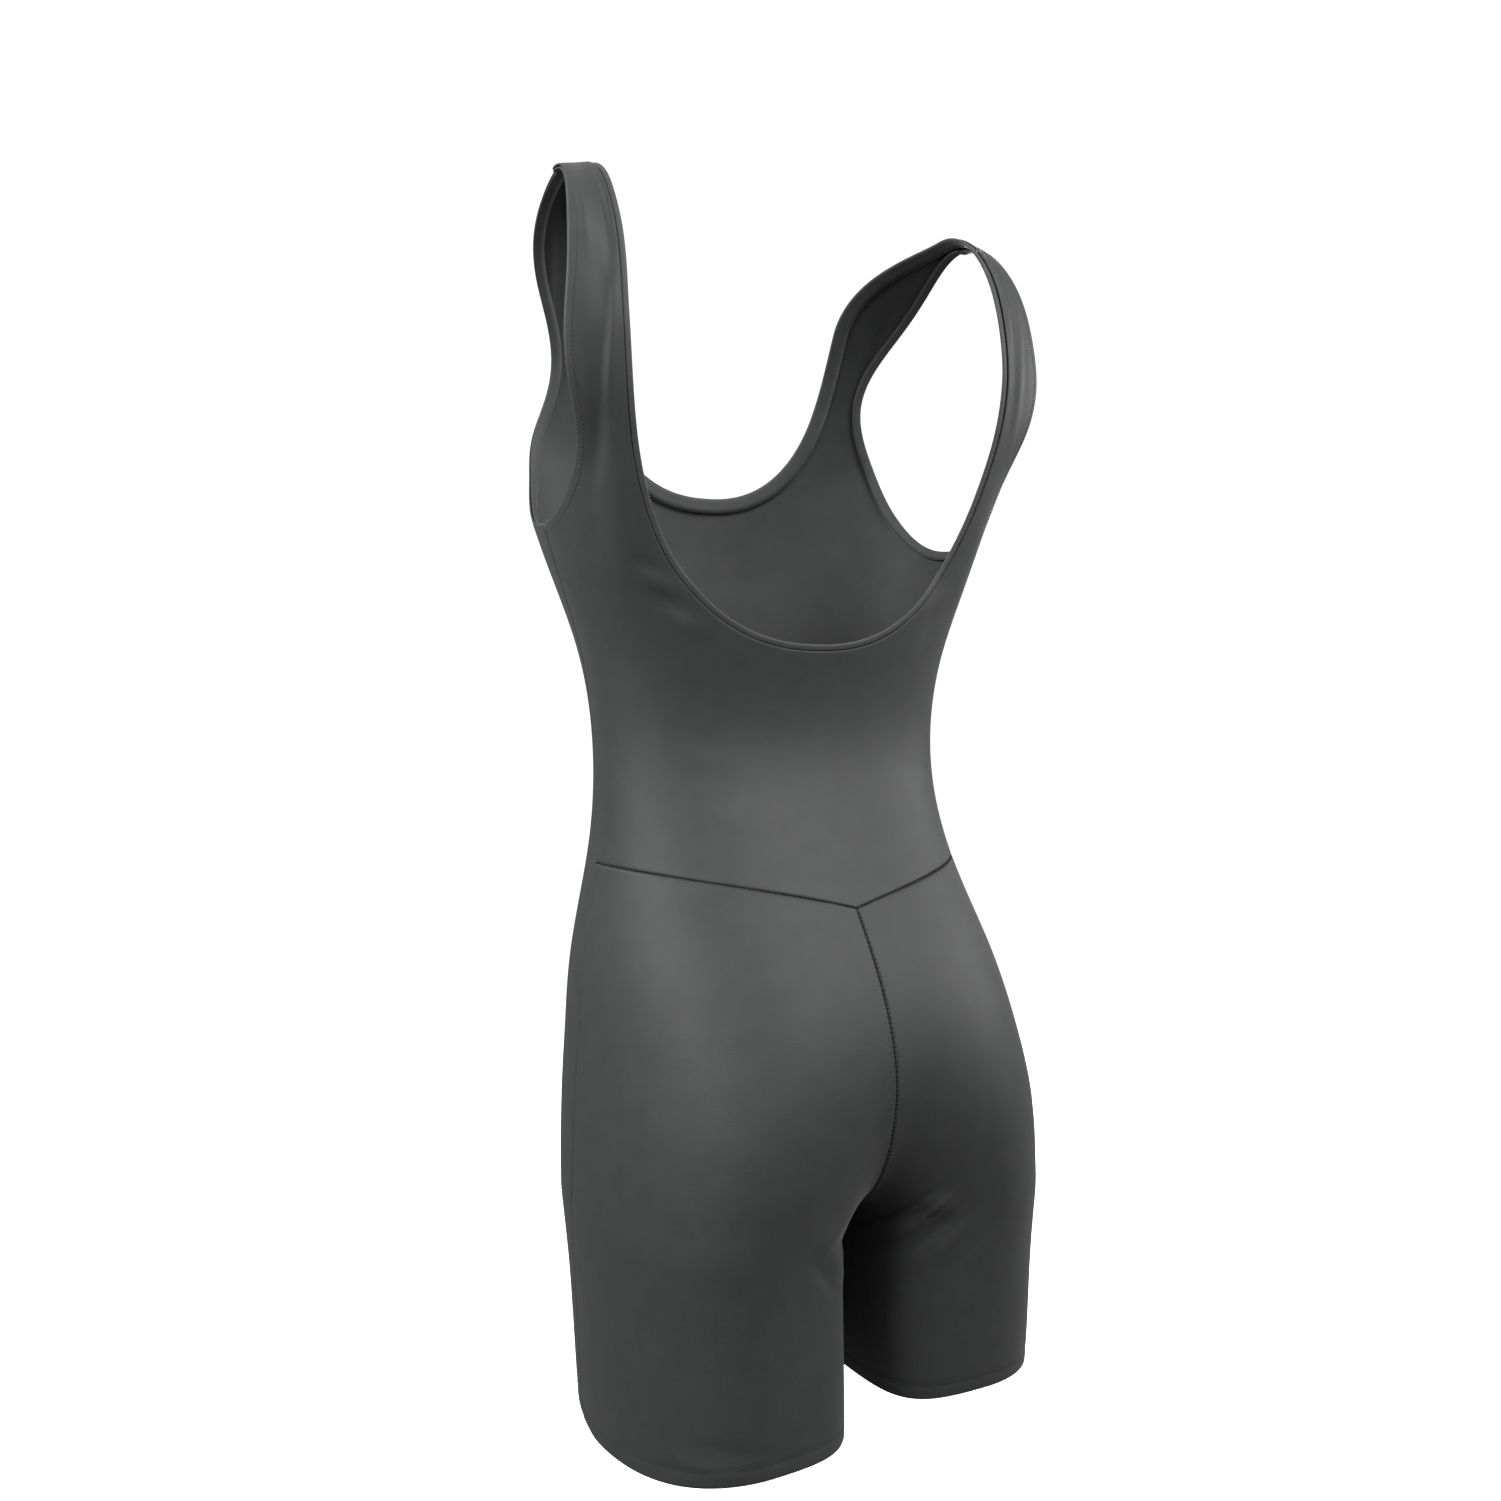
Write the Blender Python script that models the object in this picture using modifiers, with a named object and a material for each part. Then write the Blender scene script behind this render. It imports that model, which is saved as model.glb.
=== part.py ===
"""A sleeveless unitard with wide-set straps, a deep scoop back and short legs, hollow as it is when worn.

Metres, +Z up. The front faces -Y and the wearer's left is +X. The origin is midway between the tops of the
two straps, where the shoulders carry the garment.
"""

import math

import bmesh
import bpy
import numpy as np

# Cloth
JERSEY = 0.0012  # wall of the panels
BAND = 0.0010  # wall of the bindings and hems
GAP = 0.0004  # between pieces that meet at a seam
INSEAM_GAP = 0.0007  # there the cloth turns more sharply
UNDER = 0.0008  # between a panel and the band under it
BODICE_CELLS = 9  # mesh cells from the neckline to the armhole and the side
ARMHOLE_CELLS, SIDE_CELLS, WAIST_CELLS = 26, 12, 13  # along a half panel's outer edge above the waist
CENTRE_CELLS, INSEAM_CELLS = 14, 9  # down the centre to the crotch, and down the inseam
SETTLING_ROUNDS = 7
TURN_RADIUS = 0.14  # metres of cloth to each radian round the body
WELD = 0.0001
CENTRE_REACH = 0.0004  # cloth this near to the centre plane lies on it

# Cross-sections. Each is a front arc and a back arc that share their widest point, at side_y. A lobe is how
# far an arc's middle stands off the centre plane: none at the waist, half the body's width once the legs
# part. The cleft is the radius that rounds the valley between two lobes, and side_turn is how many degrees
# forward of the widest point the side seam lies. Fullness is how much squarer than an ellipse the arcs are,
# on the outer side of a lobe and on its inner side.
COLUMNS = (
    "height", "half_width", "side_y", "back_y", "front_y", "seat_lobe",
    "belly_lobe", "cleft", "side_turn", "fullness", "inner_fullness",
)
LEVEL_COLUMNS = ("seat_lobe", "belly_lobe", "cleft")
SECTIONS = (
    (0.000, 0.190, 0.000, 0.083, -0.092, 0.000, 0.000, 0.010, 0.0, 0.40, 0.40),
    (-0.042, 0.198, 0.000, 0.084, -0.098, 0.000, 0.000, 0.010, 0.0, 0.40, 0.40),
    (-0.092, 0.200, -0.001, 0.084, -0.107, 0.000, 0.000, 0.010, 0.0, 0.40, 0.40),
    (-0.122, 0.198, -0.002, 0.084, -0.113, 0.000, 0.000, 0.010, 0.0, 0.40, 0.40),
    (-0.152, 0.190, -0.004, 0.083, -0.119, 0.000, 0.000, 0.010, 0.0, 0.36, 0.36),
    (-0.182, 0.177, -0.006, 0.081, -0.123, 0.000, 0.000, 0.010, 0.0, 0.27, 0.27),
    (-0.212, 0.168, -0.008, 0.078, -0.125, 0.000, 0.000, 0.010, 0.0, 0.18, 0.18),
    (-0.242, 0.159, -0.008, 0.073, -0.124, 0.000, 0.000, 0.010, 2.0, 0.12, 0.12),
    (-0.302, 0.138, -0.007, 0.061, -0.114, 0.000, 0.000, 0.010, 7.0, 0.08, 0.08),
    (-0.372, 0.127, -0.005, 0.055, -0.109, 0.000, 0.000, 0.010, 12.0, 0.07, 0.07),
    (-0.442, 0.131, -0.003, 0.090, -0.113, 0.000, 0.000, 0.012, 2.0, 0.07, 0.07),
    (-0.512, 0.147, 0.001, 0.139, -0.110, 0.024, 0.000, 0.020, -4.0, 0.06, 0.06),
    (-0.562, 0.155, 0.008, 0.159, -0.101, 0.049, 0.018, 0.028, -4.0, 0.05, 0.06),
    (-0.602, 0.159, 0.015, 0.163, -0.092, 0.067, 0.045, 0.026, -3.0, 0.04, 0.10),
    (-0.642, 0.160, 0.022, 0.159, -0.084, 0.078, 0.070, 0.017, -1.0, 0.04, 0.18),
    (-0.668, 0.159, 0.027, 0.155, -0.080, 0.083, 0.083, 0.005, 3.0, 0.05, 0.24),
    (-0.700, 0.157, 0.032, 0.152, -0.075, 0.0835, 0.0835, 0.004, 8.0, 0.06, 0.28),
    (-0.762, 0.155, 0.039, 0.150, -0.068, 0.0835, 0.0835, 0.004, 12.0, 0.08, 0.30),
    (-0.832, 0.152, 0.042, 0.147, -0.064, 0.0830, 0.0830, 0.004, 15.0, 0.10, 0.30),
)
CROTCH = -0.668
CHEST_NARROWER = 0.016  # by how much the front arcs are less wide than the back ones, halfway up the armhole
BACK, FRONT = 1, -1

# Shoulders
BACK_ROUNDING = 0.125  # height over which the back curves up to the shoulder's ridge
FRONT_ROUNDING = 0.110
STRAP_MIDDLE = 0.147
SHOULDER_SLOPE = 0.22
SHOULDER_TRIM = 1.5e-7  # the cloth ends this far below the ridge, which is flat there, to part the two panels
SLOPE_REACH = 0.10  # how far below the ridge the slope dies out

# Neckline: the lower part of a squared ellipse, with an upright part above it
NECK_FULLNESS = 2.3
BACK_NECK_WIDTH, FRONT_NECK_WIDTH = 0.142, 0.100
NECK_AT_RIDGE = 0.142
BACK_NECK_TURN, BACK_NECK_DROP = -0.092, 0.217
FRONT_NECK_TURN, FRONT_NECK_DROP = -0.055, 0.130

# Armhole, in degrees round the body from the side and in height
ARMHOLE_BOTTOM = -0.226
ARMHOLE_SPREAD = 46.0
ARMHOLE_FRONT_SCOOP = 13.0
ARMHOLE_FULLNESS = 2.5

# Seams and hems
WAIST_AT_SIDE = -0.448
V_AT_CENTRE = -0.471
FRONT_WAIST_AT_CENTRE = -0.460
WAIST_DIP = 2.4  # over 1, the waist's edge stays level from the side and dips towards the centre
POINT_EASE = 0.07  # how closely its turns draw in beside the cleft, which would round the V's point otherwise
HEM = -0.799
HEM_RISE_AT_BACK = 0.016
HEM_RISE_INSIDE = 0.014
HEM_DEPTH = 0.012
BINDING_PROUD = 0.0045
BINDING_DEPTH = 0.007
BAND_SINK = 0.0004  # how much deeper a band's inner edge lies, as the body curves away
ARMHOLE_SINK = 0.0026  # round the armholes it curves more

# The largest folds: soft ridges (out) and troughs (in) along straight lines on one half of the cloth
FOLD_COLUMNS = ("face", "x_top", "top", "x_bottom", "bottom", "out", "width")
FOLDS = (
    (BACK, 0.154, -0.050, 0.152, -0.160, -0.0016, 0.0080),
    (BACK, 0.150, -0.140, 0.118, -0.320, 0.0022, 0.0110),
    (BACK, 0.120, -0.180, 0.088, -0.320, -0.0016, 0.0090),
    (BACK, 0.062, -0.664, 0.020, -0.646, 0.0016, 0.0070),
    (FRONT, 0.148, -0.045, 0.140, -0.150, -0.0014, 0.0080),
    (FRONT, 0.060, -0.642, 0.020, -0.618, 0.0015, 0.0080),
)

# Pose: below the waist the left leg lies further back and the right leg further forward, as in a small step
STEP = 0.013  # at the hem
STEP_FROM = -0.500
STEP_BLEND = 0.015  # distance from the centre plane over which the one leg's shift passes into the other's

CHARCOAL = (0.080, 0.080, 0.082, 1.0)


def natural_spline(places, values):
    """A smooth function through (places, values), with places rising."""
    steps = np.diff(places)
    size = len(places)
    matrix = np.eye(size)
    right = np.zeros(size)
    for i in range(1, size - 1):
        matrix[i, i - 1 : i + 2] = steps[i - 1], 2 * (steps[i - 1] + steps[i]), steps[i]
        right[i] = 6 * ((values[i + 1] - values[i]) / steps[i] - (values[i] - values[i - 1]) / steps[i - 1])
    bend = np.linalg.solve(matrix, right)

    def at(place):
        i = np.clip(np.searchsorted(places, place) - 1, 0, size - 2)
        before = place - places[i]
        after = places[i + 1] - place
        step = steps[i]
        return (
            (bend[i] * after**3 + bend[i + 1] * before**3) / (6 * step)
            + (values[i] / step - bend[i] * step / 6) * after
            + (values[i + 1] / step - bend[i + 1] * step / 6) * before
        )

    return at


def level_spline(places, values):
    """A smooth function through (places, values) that doesn't swing past them, with level ends."""
    steps = np.diff(places)
    rises = np.diff(values) / steps
    product = rises[:-1] * rises[1:]
    total = np.where(product > 0, rises[:-1] + rises[1:], 1.0)
    slopes = np.concatenate([[0.0], np.where(product > 0, 2 * product / total, 0.0), [0.0]])

    def at(place):
        i = np.clip(np.searchsorted(places, place) - 1, 0, len(steps) - 1)
        share = (place - places[i]) / steps[i]
        rest = 1 - share
        start = values[i] * (1 + 2 * share) + slopes[i] * steps[i] * share
        end = values[i + 1] * (1 + 2 * rest) - slopes[i + 1] * steps[i] * rest
        return start * rest**2 + end * share**2

    return at


HEIGHTS_UP = np.array([row[0] for row in SECTIONS])[::-1]
SIZE_AT = {
    name: (level_spline if name in LEVEL_COLUMNS else natural_spline)(
        HEIGHTS_UP, np.array([row[i] for row in SECTIONS])[::-1]
    )
    for i, name in enumerate(COLUMNS)
    if name != "height"
}


def arc_sizes(face, height):
    """(lobe, reach across from the lobe, side_y, depth) of the front or back arc at a height."""
    half_width = SIZE_AT["half_width"](height)
    if face == FRONT:
        half_width = half_width - CHEST_NARROWER * np.sin(np.pi * np.clip(height / ARMHOLE_BOTTOM, 0.0, 1.0)) ** 2
    lobe = SIZE_AT["seat_lobe" if face == BACK else "belly_lobe"](height)
    side_y = SIZE_AT["side_y"](height)
    depth = face * (SIZE_AT["back_y" if face == BACK else "front_y"](height) - side_y)
    rounding = BACK_ROUNDING if face == BACK else FRONT_ROUNDING
    rise = np.clip((height + rounding) / rounding, 0.0, 1.0)
    return lobe, half_width - lobe, side_y, depth * np.sqrt(1 - rise**2)


def fullness_at(height, turn):
    return np.where(turn < 0, SIZE_AT["inner_fullness"](height), SIZE_AT["fullness"](height))


def fold_height(face, x, z):
    """How far the folds lift a point of the cloth outwards."""
    lift = np.zeros_like(x)
    for row in FOLDS:
        fold = dict(zip(FOLD_COLUMNS, row))
        if fold["face"] != face:
            continue
        run = np.array([fold["x_bottom"] - fold["x_top"], fold["bottom"] - fold["top"]])
        length = math.hypot(*run)
        run /= length
        along = (x - fold["x_top"]) * run[0] + (z - fold["top"]) * run[1]
        across = (x - fold["x_top"]) * run[1] - (z - fold["top"]) * run[0]
        share = np.clip(along / length, 0.0, 1.0)
        lift += fold["out"] * np.sin(np.pi * share) ** 2 * np.exp(-((across / fold["width"]) ** 2))
    return lift


def cloth(face, height, turn):
    """Points of the left half's outer face.

    turn is 0 straight behind or before the lobe and 90 degrees at the widest point, and past that it follows
    the other face's arc.
    """
    height, turn = np.broadcast_arrays(np.asarray(height, float), np.asarray(turn, float))
    past_side = turn > math.pi / 2
    lobe, reach, side_y, depth = (
        np.where(past_side, other, own)
        for own, other in zip(arc_sizes(face, height), arc_sizes(-face, height))
    )
    out_x, out_y = np.sin(turn), np.cos(turn)
    fullness = fullness_at(height, turn)
    x = lobe + reach * out_x * (1 + fullness * out_y**2)
    y = side_y + face * depth * out_y * (1 + fullness * out_x**2)
    x = np.sqrt(np.maximum(x**2 - SIZE_AT["cleft"](height) ** 2, 0.0))
    x = np.where(x < CENTRE_REACH, 0.0, x)
    lift = fold_height(face, x, height)
    near_ridge = np.clip(1 + height / SLOPE_REACH, 0.0, 1.0)
    slope = SHOULDER_SLOPE * near_ridge**2 * (3 - 2 * near_ridge)
    z = height - slope * (x - STRAP_MIDDLE)
    return np.stack([x + lift * out_x, y + face * lift * out_y, z], axis=-1)


def outward(face, height, turn):
    """Unit vectors square to the cloth, pointing out of the body."""
    down = cloth(face, height - 1e-4, turn) - cloth(face, height, turn)
    along = cloth(face, height, turn + 0.004) - cloth(face, height, turn - 0.004)
    square = face * np.cross(along, down)
    return square / np.linalg.norm(square, axis=-1, keepdims=True)


def centre_turn(face, height):
    """The turn at which an arc meets the centre plane, or the inseam once the legs have parted."""
    height = np.asarray(height, float)
    lobe, reach, _, _ = arc_sizes(face, height)
    cleft = SIZE_AT["cleft"](height)
    low = np.full(height.shape, -math.pi / 2)
    high = np.full(height.shape, math.pi / 2)
    for _ in range(40):
        middle = (low + high) / 2
        x = lobe + reach * np.sin(middle) * (1 + fullness_at(height, middle) * np.cos(middle) ** 2)
        outside = x > cleft
        high = np.where(outside, middle, high)
        low = np.where(outside, low, middle)
    return np.where(height <= CROTCH, -math.pi / 2, (low + high) / 2)


def side_turn(face, height):
    """The turn at which the side seam runs."""
    return math.pi / 2 + face * np.radians(SIZE_AT["side_turn"](height))


def turn_at_x(face, height, x):
    """The turn at which an arc above the waist is x off the centre plane."""
    low = np.zeros(np.shape(height))
    high = np.full(np.shape(height), math.pi / 2)
    for _ in range(40):
        middle = (low + high) / 2
        inside = cloth(face, height, middle)[..., 0] < x
        low = np.where(inside, middle, low)
        high = np.where(inside, high, middle)
    return (low + high) / 2


def eased(count):
    """Shares from 0 to 1 that crowd towards both ends, for curves that start and stop steeply."""
    share = np.linspace(0.0, 1.0, count)
    return share**4 / (share**4 + (1 - share) ** 4)


def neck_edge(face):
    """(height, turn) down the neckline, from the shoulder's ridge to the centre."""
    turn_height, drop, width = {
        BACK: (BACK_NECK_TURN, BACK_NECK_DROP, BACK_NECK_WIDTH),
        FRONT: (FRONT_NECK_TURN, FRONT_NECK_DROP, FRONT_NECK_WIDTH),
    }[face]
    upright = np.linspace(math.pi / 2, 0.0, 120)
    upper_height = turn_height * (1 - np.sin(upright))
    upper_x = width - (width - NECK_AT_RIDGE) * np.sin(upright) ** 2
    round_part = np.linspace(0.0, math.pi / 2, 240)[1:]
    lower_height = turn_height - drop * np.sin(round_part) ** (2 / NECK_FULLNESS)
    lower_x = width * np.maximum(np.cos(round_part), 0.0) ** (2 / NECK_FULLNESS)
    height = np.minimum(np.concatenate([upper_height, lower_height]), -SHOULDER_TRIM)
    turn = turn_at_x(face, height, np.concatenate([upper_x, lower_x]))
    turn[-1] = centre_turn(face, height[-1])
    return height, turn


def armhole_edge(face):
    """(height, turn) down the armhole, from the shoulder's ridge to the side seam."""
    share = eased(400)
    spread = np.maximum(1 - share**ARMHOLE_FULLNESS, 0.0) ** (1 / ARMHOLE_FULLNESS)
    scoop = ARMHOLE_FRONT_SCOOP * np.sin(np.pi * share) ** 2 if face == FRONT else 0.0
    side = side_turn(face, ARMHOLE_BOTTOM)
    height = np.minimum(ARMHOLE_BOTTOM * share, -SHOULDER_TRIM)
    return height, side - np.radians((ARMHOLE_SPREAD + scoop) * spread)


def side_edge(face, top, bottom):
    """(height, turn) down the side seam."""
    height = np.linspace(top, bottom, 200)
    return height, side_turn(face, height)


def centre_edge(face, top):
    """(height, turn) down the centre plane from a height to the crotch."""
    height = CROTCH + (top - CROTCH) * np.linspace(1.0, 0.0, 300) ** 2
    return height, centre_turn(face, height)


def ridden_up(face, height, turn):
    """Heights raised towards the hem, which rides up behind and inside the legs."""
    share = np.clip((CROTCH - height) / (CROTCH - HEM), 0.0, 1.0)
    behind = HEM_RISE_AT_BACK * np.maximum(np.cos(turn), 0.0) if face == BACK else 0.0
    inside = HEM_RISE_INSIDE * np.maximum(-np.sin(turn), 0.0) ** 4
    return height + share**2 * (behind + inside)


def waist_edge(face, at_centre):
    """(height, turn) along the waist, from the side seam to the centre plane."""
    share = np.linspace(0.0, 1.0, 200)
    height = WAIST_AT_SIDE + (at_centre - WAIST_AT_SIDE) * share**WAIST_DIP
    start = side_turn(face, WAIST_AT_SIDE)
    to_centre = (np.hypot(1 - share, POINT_EASE) - POINT_EASE) / (math.hypot(1.0, POINT_EASE) - POINT_EASE)
    return height, start + (centre_turn(face, height) - start) * (1 - to_centre)


def even(face, edge, count):
    """The edge's (height, turn) at count + 1 places an equal distance apart on the cloth."""
    height, turn = edge
    run = np.concatenate([[0.0], np.cumsum(np.linalg.norm(np.diff(cloth(face, height, turn), axis=0), axis=1))])
    wanted = np.linspace(0.0, run[-1], count + 1)
    return np.interp(wanted, run, height), np.interp(wanted, run, turn)


def end_to_end(*edges):
    """Edges joined into one, each starting where the last one ends."""
    return tuple(
        np.concatenate([edges[0][i]] + [edge[i][1:] for edge in edges[1:]]) for i in (0, 1)
    )


def share_across(face, height, turn):
    """How far across the half panel a place lies, from 0 at the centre or inseam to 1 at the side seam."""
    inner = centre_turn(face, height)
    return (turn - inner) / (side_turn(face, height) - inner)


def spread_row(face, start, end, count):
    """(height, turn) across the cloth from one place to another, an equal distance apart."""
    share = np.linspace(0.0, 1.0, 160)
    gentle = share**2 * (3 - 2 * share)
    if end[0] < start[0]:
        # A row that ends at the armhole drops first, so that it passes below the opening and not across it
        near_armhole = min(max((end[0] - WAIST_AT_SIDE) / (ARMHOLE_BOTTOM - WAIST_AT_SIDE), 0.0), 1.0)
        gentle += near_armhole * (1 - (1 - share) ** 3 - gentle)
    height = start[0] + (end[0] - start[0]) * gentle
    inner = centre_turn(face, height)
    first, last = share_across(face, *start), share_across(face, *end)
    turn = inner + (side_turn(face, height) - inner) * (first + (last - first) * share)
    return even(face, (ridden_up(face, height, turn), turn), count)


def rows_between(face, inner, outer, count):
    """Rows of (height, turn) between two edges with equal numbers of places."""
    rows = [spread_row(face, (a, b), (c, d), count) for a, b, c, d in zip(*inner, *outer)]
    return np.array([row[0] for row in rows]), np.array([row[1] for row in rows])


def settled(height, turn):
    """A grid of places with the inner ones moved until its cells lie smoothly between its edges, uncrossed."""
    place = np.stack([turn * TURN_RADIUS, height])
    for _ in range(SETTLING_ROUNDS):
        down = (place[:, 2:, 1:-1] - place[:, :-2, 1:-1]) / 2
        across = (place[:, 1:-1, 2:] - place[:, 1:-1, :-2]) / 2
        twist = (place[:, 2:, 2:] - place[:, 2:, :-2] - place[:, :-2, 2:] + place[:, :-2, :-2]) / 4
        wide, long, skew = (across**2).sum(0), (down**2).sum(0), (down * across).sum(0)
        along_column = wide * (place[:, 2:, 1:-1] + place[:, :-2, 1:-1])
        along_row = long * (place[:, 1:-1, 2:] + place[:, 1:-1, :-2])
        place[:, 1:-1, 1:-1] = (along_column + along_row - 2 * skew * twist) / (2 * (wide + long))
    return place[1], place[0] / TURN_RADIUS


def bodice_rows(face, waist_at_centre):
    """The half panel above the waist: rows run from the neckline to the armhole, side seam and lower edge."""
    outer = end_to_end(
        even(face, armhole_edge(face), ARMHOLE_CELLS),
        even(face, side_edge(face, ARMHOLE_BOTTOM, WAIST_AT_SIDE), SIDE_CELLS),
        even(face, waist_edge(face, waist_at_centre), WAIST_CELLS),
    )
    inner = even(face, neck_edge(face), len(outer[0]) - 1)
    return settled(*rows_between(face, inner, outer, BODICE_CELLS))


def leg_rows(face, waist_at_centre):
    """The half panel below the waist: rows run from the centre or the inseam to the side seam."""
    inseam = np.linspace(CROTCH, HEM, 100), np.full(100, -math.pi / 2)
    inner = end_to_end(
        even(face, centre_edge(face, waist_at_centre), CENTRE_CELLS),
        even(face, inseam, INSEAM_CELLS),
    )
    outer = even(face, side_edge(face, WAIST_AT_SIDE, HEM), CENTRE_CELLS + INSEAM_CELLS)
    height, turn = rows_between(face, inner, outer, WAIST_CELLS)
    top = even(face, waist_edge(face, waist_at_centre), WAIST_CELLS)
    height[0], turn[0] = top[0][::-1], top[1][::-1]
    return height, turn


def grid_faces(rows, columns, outwards, closed=False):
    """Quads over a grid of vertices, numbered row by row. closed joins the last row to the first."""
    faces = []
    for i in range(rows if closed else rows - 1):
        for j in range(columns - 1):
            a, b = i * columns + j, (i + 1) % rows * columns + j
            faces.append((a, a + 1, b + 1, b) if outwards else (b, b + 1, a + 1, a))
    return faces


def thin_sheet(name, grids, wall, shift=(0.0, 0.0, 0.0), closed=False):
    """An object from grids of points, welded where they meet, with its thickness inwards.

    Each grid comes with whether its faces point out as they are numbered.
    """
    mesh = bpy.data.meshes.new(name)
    shape = bmesh.new()
    for points, outwards in grids:
        rows, columns = points.shape[:2]
        corners = [shape.verts.new(point) for point in (stepping(points) + np.array(shift)).reshape(-1, 3)]
        for face in grid_faces(rows, columns, outwards, closed):
            shape.faces.new([corners[i] for i in face])
    bmesh.ops.remove_doubles(shape, verts=shape.verts, dist=WELD)
    shape.to_mesh(mesh)
    shape.free()
    mesh.shade_smooth()
    mesh.materials.append(jersey(name))
    sheet = bpy.data.objects.new(name, mesh)
    GARMENT.objects.link(sheet)
    solid = sheet.modifiers.new("Wall", "SOLIDIFY")
    solid.thickness = wall
    solid.offset = -1.0
    solid.use_even_offset = False
    return sheet


def jersey(name):
    material = bpy.data.materials.new(name + " jersey")
    material.use_nodes = True
    surface = material.node_tree.nodes["Principled BSDF"]
    surface.inputs["Base Color"].default_value = CHARCOAL
    surface.inputs["Roughness"].default_value = 0.7
    surface.inputs["Metallic"].default_value = 0.0
    return material


def mirrored(points):
    return points * np.array([-1.0, 1.0, 1.0])


def stepping(points):
    """Points moved from the upright form to the pose."""
    share = np.clip((points[..., 2] - STEP_FROM) / (HEM - STEP_FROM), 0.0, 1.0)
    backward = STEP * share**1.5 * np.tanh(points[..., 0] / STEP_BLEND)
    return points + backward[..., None] * np.array([0.0, 1.0, 0.0])


def both_halves(face, height, turn):
    """A half panel's grid and its mirror image, each with its winding."""
    points = cloth(face, height, turn)
    return [(points, face == BACK), (mirrored(points), face == FRONT)]


def band(path, inside, proud, sink, ring):
    """The grid of a band that lies under the cloth along an edge, and its winding.

    path holds (face, heights, turns) for each stretch of the edge, in order, with the cloth to the right of
    someone who walks along it on the outer face. The band reaches inside under the cloth, where it sinks a
    little deeper, and stands proud of the edge. A ring closes on itself, and any other path starts and ends on the centre plane.
    """
    points = np.concatenate([cloth(*stretch) for stretch in path])
    out = np.concatenate([outward(*stretch) for stretch in path])
    if ring:
        around = np.concatenate([points[-1:], points, points[:1]])
    else:
        around = np.concatenate([mirrored(points[1:2]), points, mirrored(points[-2:-1])])
    ahead = around[2:] - around[:-2]
    beyond = np.cross(out, ahead)
    beyond /= np.linalg.norm(beyond, axis=1, keepdims=True)
    under = points - out * (JERSEY + UNDER)
    grid = np.stack([under - beyond * inside - out * sink, under + beyond * proud], axis=1)
    if not ring:
        grid[[0, -1], :, 0] = 0.0
    return grid, False


def turned_over(grid, outwards):
    return mirrored(grid), not outwards


def stretch(face, rows, place, upwards, skip=0):
    """One edge of a panel as (face, heights, turns), read up or down, without its last skip points."""
    height, turn = rows[0][place], rows[1][place]
    order = slice(None, None, -1) if upwards else slice(None)
    stop = len(height) - skip
    return face, height[order][:stop], turn[order][:stop]


NECK, BOTTOM = (slice(None), 0), (-1, slice(None))
ARMHOLE = slice(0, ARMHOLE_CELLS + 1), -1


# The scene starts empty
for thing in list(bpy.data.objects):
    bpy.data.objects.remove(thing)
GARMENT = bpy.data.collections.new("unitard")
bpy.context.scene.collection.children.link(GARMENT)

BACK_BODICE = bodice_rows(BACK, V_AT_CENTRE)
FRONT_BODICE = bodice_rows(FRONT, FRONT_WAIST_AT_CENTRE)
BACK_LEG = leg_rows(BACK, V_AT_CENTRE)
FRONT_LEG = leg_rows(FRONT, FRONT_WAIST_AT_CENTRE)

# Panels. Half a gap to each side keeps neighbours apart at the seams they share.
thin_sheet(
    "front_panel",
    both_halves(FRONT, *FRONT_BODICE) + both_halves(FRONT, *FRONT_LEG),
    JERSEY,
    shift=(0.0, -GAP / 2, 0.0),
)
thin_sheet("back_bodice", both_halves(BACK, *BACK_BODICE), JERSEY, shift=(0.0, GAP / 2, GAP / 2))
left_leg, right_leg = both_halves(BACK, *BACK_LEG)
thin_sheet("back_leg_left", [left_leg], JERSEY, shift=(GAP / 2, INSEAM_GAP - GAP / 2, -GAP / 2))
thin_sheet("back_leg_right", [right_leg], JERSEY, shift=(-GAP / 2, INSEAM_GAP - GAP / 2, -GAP / 2))

# Bindings and hems
neck = band(
    [stretch(FRONT, FRONT_BODICE, NECK, upwards=True, skip=1), stretch(BACK, BACK_BODICE, NECK, upwards=False)],
    BINDING_DEPTH,
    BINDING_PROUD,
    BAND_SINK,
    ring=False,
)
thin_sheet("neck_binding", [neck, turned_over(*neck)], BAND)
armhole = band(
    [
        stretch(BACK, BACK_BODICE, ARMHOLE, upwards=True, skip=1),
        stretch(FRONT, FRONT_BODICE, ARMHOLE, upwards=False, skip=1),
    ],
    BINDING_DEPTH,
    0.0,
    ARMHOLE_SINK,
    ring=True,
)
thin_sheet("armhole_binding_left", [armhole], BAND, closed=True)
thin_sheet("armhole_binding_right", [turned_over(*armhole)], BAND, closed=True)
hem = band(
    [
        stretch(BACK, BACK_LEG, BOTTOM, upwards=False, skip=1),
        stretch(FRONT, FRONT_LEG, BOTTOM, upwards=True, skip=1),
    ],
    HEM_DEPTH,
    0.0,
    BAND_SINK,
    ring=True,
)
thin_sheet("hem_left", [hem], BAND, closed=True)
thin_sheet("hem_right", [turned_over(*hem)], BAND, closed=True)
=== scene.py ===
"""A sleeveless charcoal unitard in fine stretch jersey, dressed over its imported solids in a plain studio.

Metres, +Z up. The front faces -Y and the wearer's left is +X. The origin is midway between the strap tops.
"""

import math
from functools import partial

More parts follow.
